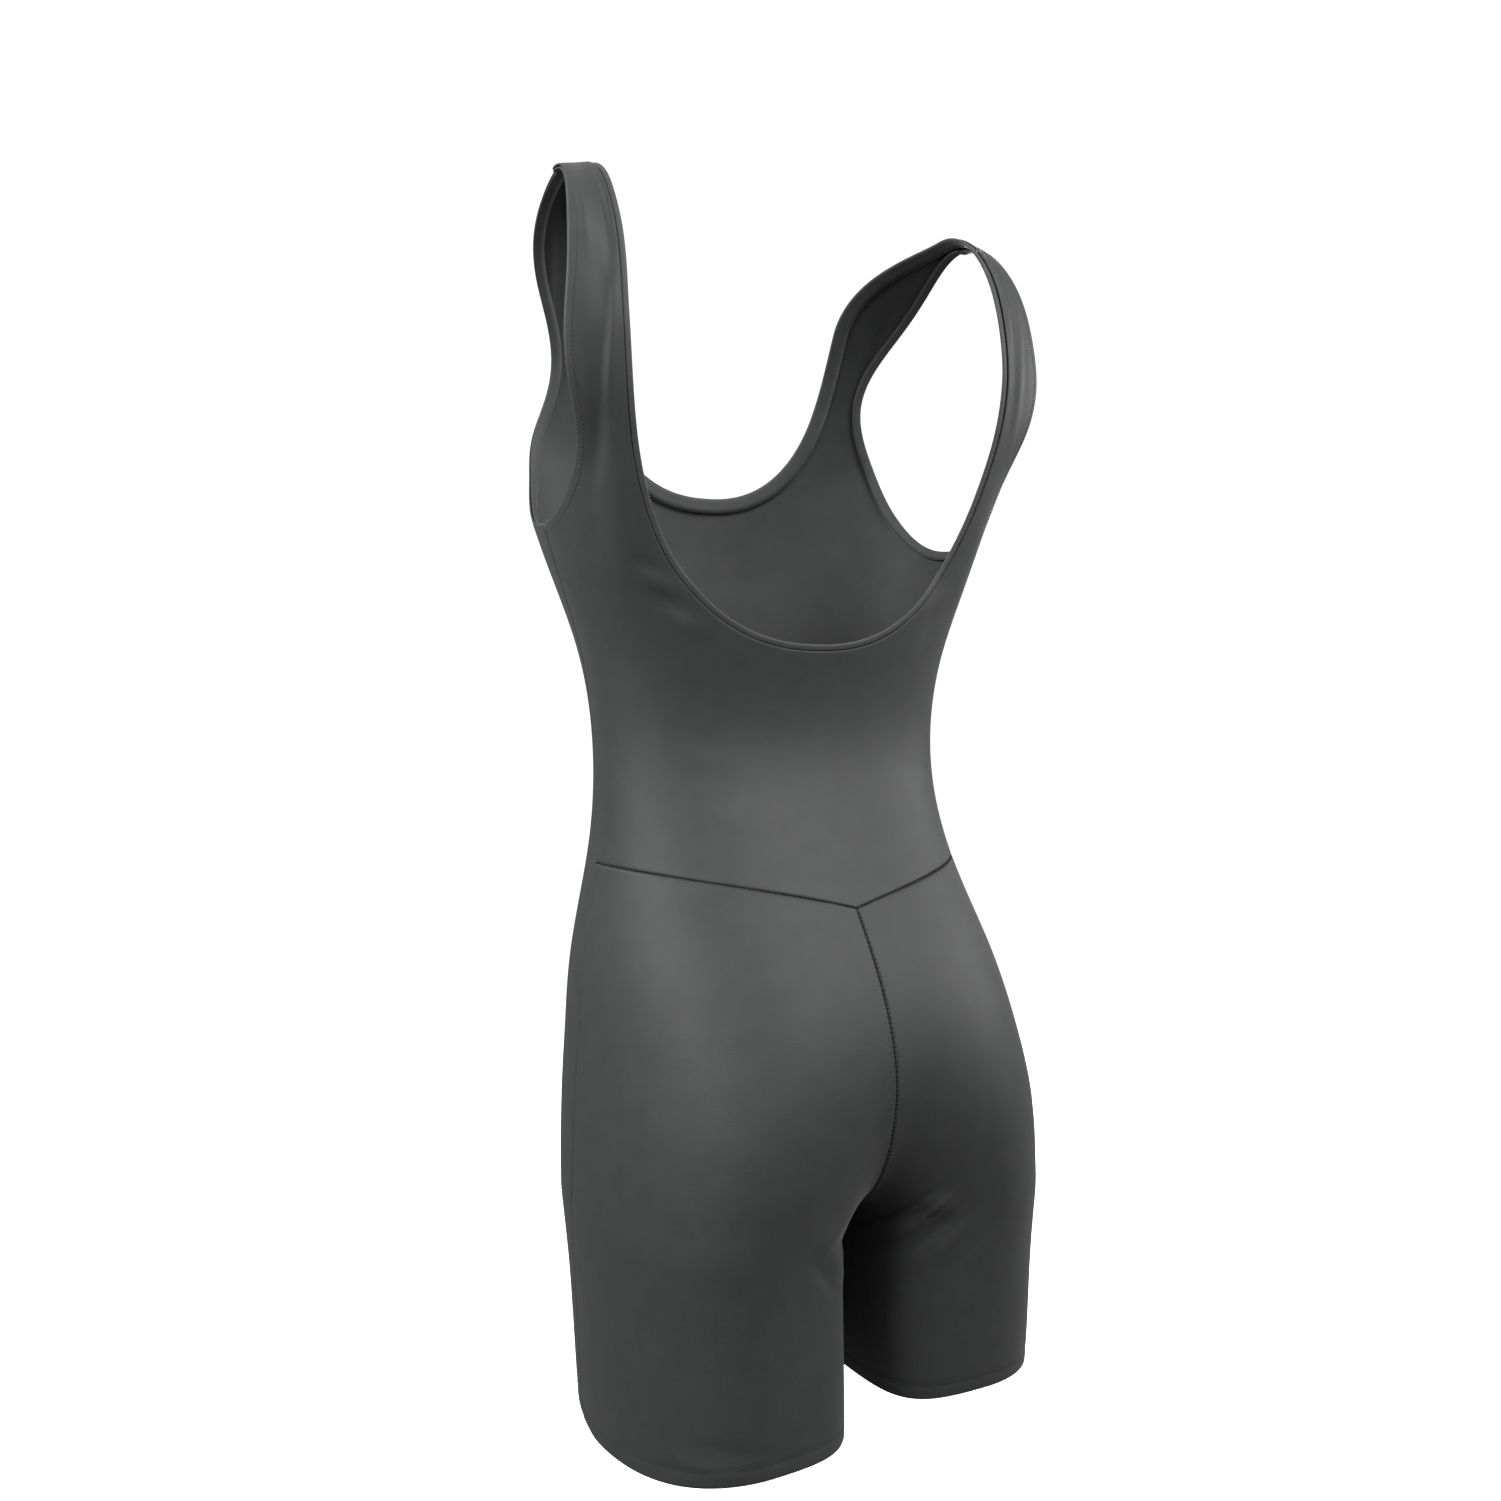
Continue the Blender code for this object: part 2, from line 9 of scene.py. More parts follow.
import bmesh
import bpy
import numpy as np
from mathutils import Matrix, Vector


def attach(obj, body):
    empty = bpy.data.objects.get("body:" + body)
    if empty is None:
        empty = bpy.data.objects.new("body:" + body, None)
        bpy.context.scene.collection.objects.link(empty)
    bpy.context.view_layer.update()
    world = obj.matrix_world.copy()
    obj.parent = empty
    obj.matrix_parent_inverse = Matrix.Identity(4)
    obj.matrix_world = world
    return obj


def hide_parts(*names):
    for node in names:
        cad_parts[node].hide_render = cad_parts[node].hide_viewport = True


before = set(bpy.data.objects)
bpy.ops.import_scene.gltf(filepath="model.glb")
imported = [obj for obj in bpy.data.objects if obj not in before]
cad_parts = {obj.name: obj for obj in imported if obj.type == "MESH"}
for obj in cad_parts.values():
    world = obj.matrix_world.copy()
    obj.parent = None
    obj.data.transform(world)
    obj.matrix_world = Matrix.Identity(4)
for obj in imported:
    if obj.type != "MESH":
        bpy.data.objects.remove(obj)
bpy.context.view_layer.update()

# Front panel
# One piece of matte stretch jersey, weft-knitted from nylon and elastane, cut on the fold from the
# shoulders to both hems. It is sewn to the back pieces at the shoulders and sides, its edges turned in.
JERSEY = 0.0010  # the cloth's thickness
GAP = 0.0004  # between the back pieces, where their seams lie open
WELD = 0.0001  # corners this near to each other are one
CENTRE_REACH = 0.0008  # cloth this near to the centre plane lies on it
FRONT_FINE = 4  # cells of the dressed front to each one of the counts below
BODICE_CELLS = 9  # from the neckline to the armhole and the side
ARMHOLE_CELLS, SIDE_CELLS, WAIST_CELLS = 26, 12, 13  # along a half panel's outer edge above the waist
CENTRE_CELLS, INSEAM_CELLS = 14, 9  # down the centre to the crotch, and down the inseam
SETTLING_ROUNDS = 7
# Points that each edge is drawn with, before its cells are measured off along it
UPRIGHT_POINTS, ROUND_POINTS, ARMHOLE_POINTS, SIDE_POINTS = 120, 240, 400, 200
CENTRE_POINTS, INSEAM_POINTS, WAIST_POINTS, ROW_POINTS = 300, 100, 200, 160
HALVINGS = 40  # of a range, to find the turn at which the cloth reaches a place
NEAR_BELOW, NEAR_TURN = 1e-4, 0.004  # how far off the cloth is compared, to find which way it faces
TURN_RADIUS = 0.14  # metres of cloth to each radian round the body
EDGE_LOOPS = (0.15, 0.35, 0.6)  # where extra loops lie in the first cell inside a seam
NECK_ROLL = 0.0004  # the neckline's edge, which lies flat on its binding
ROLL_DEPTH, ROLL_WIDTH = 0.0009, 0.0015  # how a seamed edge turns in
HEM_LINE = 0.0095  # from the hem's fold up to its line of stitching
HEM_DENT, HEM_DENT_WIDTH = 0.00035, 0.0016

# Cross-sections. Each is a front arc and a back arc that share their widest point, at side_y. A lobe is how
# far an arc's middle stands off the centre plane: none at the waist, half the body's width once the legs
# part. The cleft is the radius that rounds the valley between two lobes, and side_turn is how many degrees
# forward of the widest point the side seam lies. Fullness is how much squarer than an ellipse the arcs are,
# on the outer side of a lobe and on its inner side.
COLUMNS = (
    "height", "half_width", "side_y", "back_y", "front_y", "seat_lobe",
    "belly_lobe", "cleft", "side_turn", "fullness", "inner_fullness",
)
LEVEL_COLUMNS = ("seat_lobe", "belly_lobe", "cleft")
SECTIONS = (
    (0.000, 0.190, 0.000, 0.083, -0.092, 0.000, 0.000, 0.010, 0.0, 0.40, 0.40),
    (-0.042, 0.198, 0.000, 0.084, -0.098, 0.000, 0.000, 0.010, 0.0, 0.40, 0.40),
    (-0.092, 0.200, -0.001, 0.084, -0.107, 0.000, 0.000, 0.010, 0.0, 0.40, 0.40),
    (-0.122, 0.198, -0.002, 0.084, -0.113, 0.000, 0.000, 0.010, 0.0, 0.40, 0.40),
    (-0.152, 0.190, -0.004, 0.083, -0.119, 0.000, 0.000, 0.010, 0.0, 0.36, 0.36),
    (-0.182, 0.177, -0.006, 0.081, -0.123, 0.000, 0.000, 0.010, 0.0, 0.27, 0.27),
    (-0.212, 0.168, -0.008, 0.078, -0.125, 0.000, 0.000, 0.010, 0.0, 0.18, 0.18),
    (-0.242, 0.159, -0.008, 0.073, -0.124, 0.000, 0.000, 0.010, 2.0, 0.12, 0.12),
    (-0.302, 0.138, -0.007, 0.061, -0.114, 0.000, 0.000, 0.010, 7.0, 0.08, 0.08),
    (-0.372, 0.127, -0.005, 0.055, -0.109, 0.000, 0.000, 0.010, 12.0, 0.07, 0.07),
    (-0.442, 0.131, -0.003, 0.090, -0.113, 0.000, 0.000, 0.012, 2.0, 0.07, 0.07),
    (-0.512, 0.147, 0.001, 0.139, -0.110, 0.024, 0.000, 0.020, -4.0, 0.06, 0.06),
    (-0.562, 0.155, 0.008, 0.159, -0.101, 0.049, 0.018, 0.028, -4.0, 0.05, 0.06),
    (-0.602, 0.159, 0.015, 0.163, -0.092, 0.067, 0.045, 0.026, -3.0, 0.04, 0.10),
    (-0.642, 0.160, 0.022, 0.159, -0.084, 0.078, 0.070, 0.017, -1.0, 0.04, 0.18),
    (-0.668, 0.159, 0.027, 0.155, -0.080, 0.083, 0.083, 0.005, 3.0, 0.05, 0.24),
    (-0.700, 0.157, 0.032, 0.152, -0.075, 0.0835, 0.0835, 0.004, 8.0, 0.06, 0.28),
    (-0.762, 0.155, 0.039, 0.150, -0.068, 0.0835, 0.0835, 0.004, 12.0, 0.08, 0.30),
    (-0.832, 0.152, 0.042, 0.147, -0.064, 0.0830, 0.0830, 0.004, 15.0, 0.10, 0.30),
)
CROTCH = -0.668
CHEST_NARROWER = 0.016  # how much less wide the front arcs are than the back ones, halfway up the armhole
BACK, FRONT = 1, -1

# Shoulders
BACK_ROUNDING = 0.125  # height over which the back curves up to the shoulder's ridge
FRONT_ROUNDING = 0.110
STRAP_MIDDLE = 0.147
SHOULDER_SLOPE = 0.22
SHOULDER_TRIM = 1.5e-7  # how far below the flat ridge the cloth ends, which parts the two panels
SLOPE_REACH = 0.10  # how far below the ridge the slope dies out

# Neckline: the lower part of a squared ellipse, with an upright part above it. For each face it is the
# height where the two meet, the drop below that, and the width.
NECK_FULLNESS = 2.3
NECK_AT_RIDGE = 0.142
NECKLINES = {FRONT: (-0.055, 0.130, 0.100)}

# Armhole, in degrees round the body from the side and in height
ARMHOLE_BOTTOM = -0.226
ARMHOLE_SPREAD = 46.0
ARMHOLE_FRONT_SCOOP = 13.0
ARMHOLE_FULLNESS = 2.5

# Waist, hem and pose
WAIST_AT_SIDE = -0.448
FRONT_WAIST_AT_CENTRE = -0.460
WAIST_DIP = 2.4  # over 1, the waist's edge stays level from the side and dips towards the centre
POINT_EASE = 0.07  # how closely its turns draw in beside the cleft, so that the V's point stays sharp
HEM = -0.799
HEM_RISE_INSIDE = 0.014
HEM_RISES = {FRONT: 0.0, BACK: 0.016}  # how far the hem rides up before and behind the leg
# Pose: below the waist the left leg lies further back and the right leg further forward, as in a small step
STEP = 0.013  # at the hem
STEP_FROM = -0.500
STEP_CURVE = 1.5  # over 1, the step starts gently
STEP_BLEND = 0.015  # distance from the centre plane over which the one leg's shift passes into the other's

# Creases: soft ridges (out) and troughs (in) along straight lines. Side 1 is the wearer's left, -1 the
# right, and 0 both.
CREASE_COLUMNS = ("side", "x_top", "top", "x_bottom", "bottom", "out", "width")
CREASES = {
    FRONT: [
        # The straps' hollows, and the pull from the crotch
        (0, 0.148, -0.045, 0.140, -0.150, -0.0014, 0.0080),
        (0, 0.060, -0.642, 0.020, -0.618, 0.0015, 0.0080),
        # A lengthwise fold on each strap
        (1, 0.150, 0.006, 0.128, -0.100, -0.0010, 0.0038),
        (-1, 0.146, 0.006, 0.124, -0.110, 0.0010, 0.0038),
        # Drag lines below the armholes
        (1, 0.130, -0.235, 0.080, -0.215, 0.0008, 0.0055),
        (-1, 0.134, -0.242, 0.084, -0.226, -0.0008, 0.0055),
        # Slight give across the waist
        (1, 0.118, -0.396, 0.030, -0.408, 0.0006, 0.0065),
        (-1, 0.120, -0.380, 0.034, -0.392, -0.0006, 0.0065),
        # Short wrinkles beside the crotch
        (1, 0.058, -0.664, 0.012, -0.640, 0.0010, 0.0040),
        (1, 0.070, -0.676, 0.016, -0.662, -0.0008, 0.0036),
        (-1, 0.064, -0.672, 0.012, -0.650, -0.0010, 0.0042),
        (-1, 0.050, -0.690, 0.008, -0.672, 0.0009, 0.0036),
    ]
}


def natural_spline(places, values):
    """A smooth function through (places, values), with places rising."""
    steps = np.diff(places)
    size = len(places)
    matrix = np.eye(size)
    right = np.zeros(size)
    for i in range(1, size - 1):
        matrix[i, i - 1 : i + 2] = steps[i - 1], 2 * (steps[i - 1] + steps[i]), steps[i]
        right[i] = 6 * ((values[i + 1] - values[i]) / steps[i] - (values[i] - values[i - 1]) / steps[i - 1])
    bend = np.linalg.solve(matrix, right)

    def at(place):
        i = np.clip(np.searchsorted(places, place) - 1, 0, size - 2)
        before = place - places[i]
        after = places[i + 1] - place
        step = steps[i]
        return (
            (bend[i] * after**3 + bend[i + 1] * before**3) / (6 * step)
            + (values[i] / step - bend[i] * step / 6) * after
            + (values[i + 1] / step - bend[i + 1] * step / 6) * before
        )

    return at


def level_spline(places, values):
    """A smooth function through (places, values) that doesn't swing past them, with level ends."""
    steps = np.diff(places)
    rises = np.diff(values) / steps
    product = rises[:-1] * rises[1:]
    total = np.where(product > 0, rises[:-1] + rises[1:], 1.0)
    slopes = np.concatenate([[0.0], np.where(product > 0, 2 * product / total, 0.0), [0.0]])

    def at(place):
        i = np.clip(np.searchsorted(places, place) - 1, 0, len(steps) - 1)
        share = (place - places[i]) / steps[i]
        rest = 1 - share
        start = values[i] * (1 + 2 * share) + slopes[i] * steps[i] * share
        end = values[i + 1] * (1 + 2 * rest) - slopes[i + 1] * steps[i] * rest
        return start * rest**2 + end * share**2

    return at


HEIGHTS_UP = np.array([row[0] for row in SECTIONS])[::-1]
SIZE_AT = {
    name: (level_spline if name in LEVEL_COLUMNS else natural_spline)(
        HEIGHTS_UP, np.array([row[i] for row in SECTIONS])[::-1]
    )
    for i, name in enumerate(COLUMNS)
    if name != "height"
}


def arc_sizes(face, height):
    """(lobe, reach across from the lobe, side_y, depth) of the front or back arc at a height."""
    half_width = SIZE_AT["half_width"](height)
    if face == FRONT:
        near_middle = np.sin(np.pi * np.clip(height / ARMHOLE_BOTTOM, 0.0, 1.0))
        half_width = half_width - CHEST_NARROWER * near_middle**2
    lobe = SIZE_AT["seat_lobe" if face == BACK else "belly_lobe"](height)
    side_y = SIZE_AT["side_y"](height)
    depth = face * (SIZE_AT["back_y" if face == BACK else "front_y"](height) - side_y)
    rounding = BACK_ROUNDING if face == BACK else FRONT_ROUNDING
    rise = np.clip((height + rounding) / rounding, 0.0, 1.0)
    return lobe, half_width - lobe, side_y, depth * np.sqrt(1 - rise**2)


def fullness_at(height, turn):
    """How much squarer than an ellipse an arc is at a turn."""
    return np.where(turn < 0, SIZE_AT["inner_fullness"](height), SIZE_AT["fullness"](height))


def crease_height(face, side, x, z):
    """How far the creases lift a point of the cloth outwards."""
    lift = np.zeros_like(x)
    for row in CREASES[face]:
        crease = dict(zip(CREASE_COLUMNS, row))
        if crease["side"] not in (0, side):
            continue
        run = np.array([crease["x_bottom"] - crease["x_top"], crease["bottom"] - crease["top"]])
        length = math.hypot(*run)
        run /= length
        along = (x - crease["x_top"]) * run[0] + (z - crease["top"]) * run[1]
        across = (x - crease["x_top"]) * run[1] - (z - crease["top"]) * run[0]
        share = np.clip(along / length, 0.0, 1.0)
        lift += crease["out"] * np.sin(np.pi * share) ** 2 * np.exp(-((across / crease["width"]) ** 2))
    return lift


def cloth(face, height, turn, side=0):
    """Points of the left half's outer face.

    turn is 0 straight behind or before the lobe and 90 degrees at the widest point. Past that it follows
    the other face's arc.
    """
    height, turn = np.broadcast_arrays(np.asarray(height, float), np.asarray(turn, float))
    past_side = turn > math.pi / 2
    lobe, reach, side_y, depth = (
        np.where(past_side, other, own)
        for own, other in zip(arc_sizes(face, height), arc_sizes(-face, height))
    )
    out_x, out_y = np.sin(turn), np.cos(turn)
    fullness = fullness_at(height, turn)
    x = lobe + reach * out_x * (1 + fullness * out_y**2)
    y = side_y + face * depth * out_y * (1 + fullness * out_x**2)
    x = np.sqrt(np.maximum(x**2 - SIZE_AT["cleft"](height) ** 2, 0.0))
    x = np.where(x < CENTRE_REACH, 0.0, x)
    lift = crease_height(face, side, x, height)
    near_ridge = np.clip(1 + height / SLOPE_REACH, 0.0, 1.0)
    slope = SHOULDER_SLOPE * near_ridge**2 * (3 - 2 * near_ridge)
    z = height - slope * (x - STRAP_MIDDLE)
    return np.stack([x + lift * out_x, y + face * lift * out_y, z], axis=-1)


def outward(face, height, turn, side=0):
    """Unit vectors square to the cloth, pointing out of the body."""
    down = cloth(face, height - NEAR_BELOW, turn, side) - cloth(face, height, turn, side)
    along = cloth(face, height, turn + NEAR_TURN, side) - cloth(face, height, turn - NEAR_TURN, side)
    square = face * np.cross(along, down)
    return square / np.linalg.norm(square, axis=-1, keepdims=True)


def centre_turn(face, height):
    """The turn at which an arc meets the centre plane, or the inseam once the legs have parted."""
    height = np.asarray(height, float)
    lobe, reach, _, _ = arc_sizes(face, height)
    cleft = SIZE_AT["cleft"](height)
    low = np.full(height.shape, -math.pi / 2)
    high = np.full(height.shape, math.pi / 2)
    for _ in range(HALVINGS):
        middle = (low + high) / 2
        x = lobe + reach * np.sin(middle) * (1 + fullness_at(height, middle) * np.cos(middle) ** 2)
        outside = x > cleft
        high = np.where(outside, middle, high)
        low = np.where(outside, low, middle)
    return np.where(height <= CROTCH, -math.pi / 2, (low + high) / 2)


def side_turn(face, height):
    """The turn at which the side seam runs."""
    return math.pi / 2 + face * np.radians(SIZE_AT["side_turn"](height))


def turn_at_x(face, height, x):
    """The turn at which an arc above the waist is x off the centre plane."""
    low = np.zeros(np.shape(height))
    high = np.full(np.shape(height), math.pi / 2)
    for _ in range(HALVINGS):
        middle = (low + high) / 2
        inside = cloth(face, height, middle)[..., 0] < x
        low = np.where(inside, middle, low)
        high = np.where(inside, high, middle)
    return (low + high) / 2


def eased(count):
    """Shares from 0 to 1 that crowd towards both ends, for curves that start and stop steeply."""
    share = np.linspace(0.0, 1.0, count)
    return share**4 / (share**4 + (1 - share) ** 4)


def neck_edge(face):
    """(height, turn) down the neckline, from the shoulder's ridge to the centre."""
    turn_height, drop, width = NECKLINES[face]
    upright = np.linspace(math.pi / 2, 0.0, UPRIGHT_POINTS)
    upper_height = turn_height * (1 - np.sin(upright))
    upper_x = width - (width - NECK_AT_RIDGE) * np.sin(upright) ** 2
    round_part = np.linspace(0.0, math.pi / 2, ROUND_POINTS)[1:]
    lower_height = turn_height - drop * np.sin(round_part) ** (2 / NECK_FULLNESS)
    lower_x = width * np.maximum(np.cos(round_part), 0.0) ** (2 / NECK_FULLNESS)
    height = np.minimum(np.concatenate([upper_height, lower_height]), -SHOULDER_TRIM)
    turn = turn_at_x(face, height, np.concatenate([upper_x, lower_x]))
    turn[-1] = centre_turn(face, height[-1])
    return height, turn


def armhole_edge(face):
    """(height, turn) down the armhole, from the shoulder's ridge to the side seam."""
    share = eased(ARMHOLE_POINTS)
    spread = np.maximum(1 - share**ARMHOLE_FULLNESS, 0.0) ** (1 / ARMHOLE_FULLNESS)
    scoop = ARMHOLE_FRONT_SCOOP * np.sin(np.pi * share) ** 2 if face == FRONT else 0.0
    side = side_turn(face, ARMHOLE_BOTTOM)
    height = np.minimum(ARMHOLE_BOTTOM * share, -SHOULDER_TRIM)
    return height, side - np.radians((ARMHOLE_SPREAD + scoop) * spread)


def side_edge(face, top, bottom):
    """(height, turn) down the side seam."""
    height = np.linspace(top, bottom, SIDE_POINTS)
    return height, side_turn(face, height)


def centre_edge(face, top):
    """(height, turn) down the centre plane from a height to the crotch."""
    height = CROTCH + (top - CROTCH) * np.linspace(1.0, 0.0, CENTRE_POINTS) ** 2
    return height, centre_turn(face, height)


def ridden_up(face, height, turn):
    """Heights raised towards the hem, which rides up behind and inside the legs."""
    share = np.clip((CROTCH - height) / (CROTCH - HEM), 0.0, 1.0)
    behind = HEM_RISES[face] * np.maximum(np.cos(turn), 0.0)
    inside = HEM_RISE_INSIDE * np.maximum(-np.sin(turn), 0.0) ** 4
    return height + share**2 * (behind + inside)


def waist_edge(face, at_centre):
    """(height, turn) along the waist, from the side seam to the centre plane."""
    share = np.linspace(0.0, 1.0, WAIST_POINTS)
    height = WAIST_AT_SIDE + (at_centre - WAIST_AT_SIDE) * share**WAIST_DIP
    start = side_turn(face, WAIST_AT_SIDE)
    to_centre = (np.hypot(1 - share, POINT_EASE) - POINT_EASE) / (math.hypot(1.0, POINT_EASE) - POINT_EASE)
    return height, start + (centre_turn(face, height) - start) * (1 - to_centre)


def even(face, edge, count):
    """The edge's (height, turn) at count + 1 places an equal distance apart on the cloth."""
    height, turn = edge
    steps = np.linalg.norm(np.diff(cloth(face, height, turn), axis=0), axis=1)
    run = np.concatenate([[0.0], np.cumsum(steps)])
    wanted = np.linspace(0.0, run[-1], count + 1)
    return np.interp(wanted, run, height), np.interp(wanted, run, turn)


def end_to_end(*edges):
    """Edges joined into one, each starting where the last one ends."""
    return tuple(
        np.concatenate([edges[0][i]] + [edge[i][1:] for edge in edges[1:]]) for i in (0, 1)
    )


def share_across(face, height, turn):
    """How far across the half panel a place lies, from 0 at the centre or inseam to 1 at the side seam."""
    inner = centre_turn(face, height)
    return (turn - inner) / (side_turn(face, height) - inner)


def spread_row(face, start, end, count):
    """(height, turn) across the cloth from one place to another, an equal distance apart."""
    share = np.linspace(0.0, 1.0, ROW_POINTS)
    gentle = share**2 * (3 - 2 * share)
    if end[0] < start[0]:
        # A row that ends at the armhole drops first, so that it passes below the opening and not across it
        near_armhole = min(max((end[0] - WAIST_AT_SIDE) / (ARMHOLE_BOTTOM - WAIST_AT_SIDE), 0.0), 1.0)
        gentle += near_armhole * (1 - (1 - share) ** 3 - gentle)
    height = start[0] + (end[0] - start[0]) * gentle
    inner = centre_turn(face, height)
    first, last = share_across(face, *start), share_across(face, *end)
    turn = inner + (side_turn(face, height) - inner) * (first + (last - first) * share)
    return even(face, (ridden_up(face, height, turn), turn), count)


def rows_between(face, inner, outer, count):
    """Rows of (height, turn) between two edges with equal numbers of places."""
    rows = [spread_row(face, (a, b), (c, d), count) for a, b, c, d in zip(*inner, *outer)]
    return np.array([row[0] for row in rows]), np.array([row[1] for row in rows])


def settled(height, turn, rounds):
    """A grid of places, its inner ones moved until the cells lie smoothly between the edges, uncrossed."""
    place = np.stack([turn * TURN_RADIUS, height])
    for _ in range(rounds):
        down = (place[:, 2:, 1:-1] - place[:, :-2, 1:-1]) / 2
        across = (place[:, 1:-1, 2:] - place[:, 1:-1, :-2]) / 2
        twist = (place[:, 2:, 2:] - place[:, 2:, :-2] - place[:, :-2, 2:] + place[:, :-2, :-2]) / 4
        wide, long, skew = (across**2).sum(0), (down**2).sum(0), (down * across).sum(0)
        along_column = wide * (place[:, 2:, 1:-1] + place[:, :-2, 1:-1])
        along_row = long * (place[:, 1:-1, 2:] + place[:, 1:-1, :-2])
        place[:, 1:-1, 1:-1] = (along_column + along_row - 2 * skew * twist) / (2 * (wide + long))
    return place[1], place[0] / TURN_RADIUS


def bodice_rows(face, waist_at_centre, fineness):
    """The half panel above the waist: rows run from the neckline to the armhole, the side and the waist."""
    outer = end_to_end(
        even(face, armhole_edge(face), ARMHOLE_CELLS * fineness),
        even(face, side_edge(face, ARMHOLE_BOTTOM, WAIST_AT_SIDE), SIDE_CELLS * fineness),
        even(face, waist_edge(face, waist_at_centre), WAIST_CELLS * fineness),
    )
    inner = even(face, neck_edge(face), len(outer[0]) - 1)
    rows = rows_between(face, inner, outer, BODICE_CELLS * fineness)
    return settled(*rows, SETTLING_ROUNDS * fineness**2)


def leg_rows(face, waist_at_centre, fineness):
    """The half panel below the waist: rows run from the centre or the inseam to the side seam."""
    inseam = np.linspace(CROTCH, HEM, INSEAM_POINTS), np.full(INSEAM_POINTS, -math.pi / 2)
    inner = end_to_end(
        even(face, centre_edge(face, waist_at_centre), CENTRE_CELLS * fineness),
        even(face, inseam, INSEAM_CELLS * fineness),
    )
    outer = even(face, side_edge(face, WAIST_AT_SIDE, HEM), (CENTRE_CELLS + INSEAM_CELLS) * fineness)
    height, turn = rows_between(face, inner, outer, WAIST_CELLS * fineness)
    top = even(face, waist_edge(face, waist_at_centre), WAIST_CELLS * fineness)
    height[0], turn[0] = top[0][::-1], top[1][::-1]
    return height, turn


def with_edge_loops(count):
    """Places along count cells, in cells, with extra ones just inside both ends."""
    ends = np.array(EDGE_LOOPS)
    return np.concatenate([[0.0], ends, np.arange(1, count), count - ends[::-1], [float(count)]])


def between(grid, rows, columns):
    """A grid of values read at fractional rows and columns."""
    down = np.array([np.interp(rows, np.arange(grid.shape[0]), column) for column in grid.T]).T
    return np.array([np.interp(columns, np.arange(grid.shape[1]), row) for row in down])


def distance_in(points, axis):
    """How far each point of a grid lies from the first and from the last one along an axis."""
    steps = np.linalg.norm(np.diff(points, axis=axis), axis=-1)
    run = np.concatenate([np.zeros_like(np.take(steps, [0], axis)), np.cumsum(steps, axis=axis)], axis=axis)
    return run, np.take(run, [-1], axis) - run


def stepping(points):
    """Points moved from the upright form to the pose."""
    share = np.clip((points[..., 2] - STEP_FROM) / (HEM - STEP_FROM), 0.0, 1.0)
    backward = STEP * share**STEP_CURVE * np.tanh(points[..., 0] / STEP_BLEND)
    return points + backward[..., None] * np.array([0.0, 1.0, 0.0])


def distance_from(edge, points):
    """How far each point of a grid lies from the nearest point of an edge."""
    return np.linalg.norm(points[:, :, None] - edge, axis=-1).min(axis=-1)


def half_panel(face, side, rows, seams, shift=(0.0, 0.0, 0.0)):
    """Points, UVs and winding of half a panel in fine cloth, turned in along its seams.

    seams says which edges are turned in: the first and last column, and the first and last row. An edge
    marked "neck" is turned in less. A last column marked "to the waist" is turned in no further down than
    that, and a last row marked "hem" also has a line pressed in above it, where the stitching pulls.
    """
    height, turn = rows
    down, across = with_edge_loops(height.shape[0] - 1), with_edge_loops(height.shape[1] - 1)
    height, turn = between(height, down, across), between(turn, down, across)
    points = cloth(face, height, turn, side)
    depth = np.zeros(height.shape)
    for seam, distance in zip(seams, [*distance_in(points, 1), *distance_in(points, 0)]):
        if seam == "to the waist":
            distance = distance_from(points[height[:, -1] >= WAIST_AT_SIDE, -1], points)
        if seam:
            deepest = NECK_ROLL if seam == "neck" else ROLL_DEPTH
            depth = np.maximum(depth, deepest * np.clip(1 - distance / ROLL_WIDTH, 0.0, 1.0) ** 2)
        if seam == "hem":
            depth += HEM_DENT * np.exp(-(((distance - HEM_LINE) / HEM_DENT_WIDTH) ** 2))
    points = points - depth[..., None] * outward(face, height, turn, side)
    lobe, reach, _, _ = arc_sizes(face, height)
    uv = np.stack([side * (lobe + reach * turn), height], axis=-1)
    return stepping(points * np.array([side, 1.0, 1.0])) + np.array(shift), uv, side == face


def finished(name, shape, material):
    """A piece from a finished shape, smoothly shaded in one material."""
    mesh = bpy.data.meshes.new(name)
    shape.to_mesh(mesh)
    shape.free()
    mesh.shade_smooth()
    mesh.materials.append(material)
    piece = bpy.data.objects.new(name, mesh)
    bpy.context.scene.collection.objects.link(piece)
    return piece


def sewn_cloth(name, halves, material):
    """An object from grids of points and UVs, welded where they meet, with its thickness inwards."""
    shape = bmesh.new()
    layer = shape.loops.layers.uv.new("UVMap")
    for points, uv, outwards in halves:
        rows, columns = points.shape[:2]
        corners = [shape.verts.new(point) for point in points.reshape(-1, 3)]
        places = uv.reshape(-1, 2)
        for i in range(rows - 1):
            for j in range(columns - 1):
                a, b = i * columns + j, (i + 1) * columns + j
                ring = (a, a + 1, b + 1, b) if outwards else (b, b + 1, a + 1, a)
                for loop, k in zip(shape.faces.new([corners[k] for k in ring]).loops, ring):
                    loop[layer].uv = places[k]
    bmesh.ops.remove_doubles(shape, verts=shape.verts, dist=WELD)
    piece = finished(name, shape, material)
    solid = piece.modifiers.new("Wall", "SOLIDIFY")
    solid.thickness = JERSEY
    solid.offset = -1.0
    solid.use_even_offset = False
    return piece


def sewn_in(piece, node):
    """Puts a finished sheet on the garment in place of the solid it stands for, which is hidden, and hangs
    it on the garment's root.
    """
    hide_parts(node)
    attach(piece, "root")


def linear(colour):
    """A hex sRGB colour as linear RGBA."""
    parts = [int(colour[i : i + 2], 16) / 255 for i in (1, 3, 5)]
    return (*[c / 12.92 if c <= 0.04045 else ((c + 0.055) / 1.055) ** 2.4 for c in parts], 1.0)


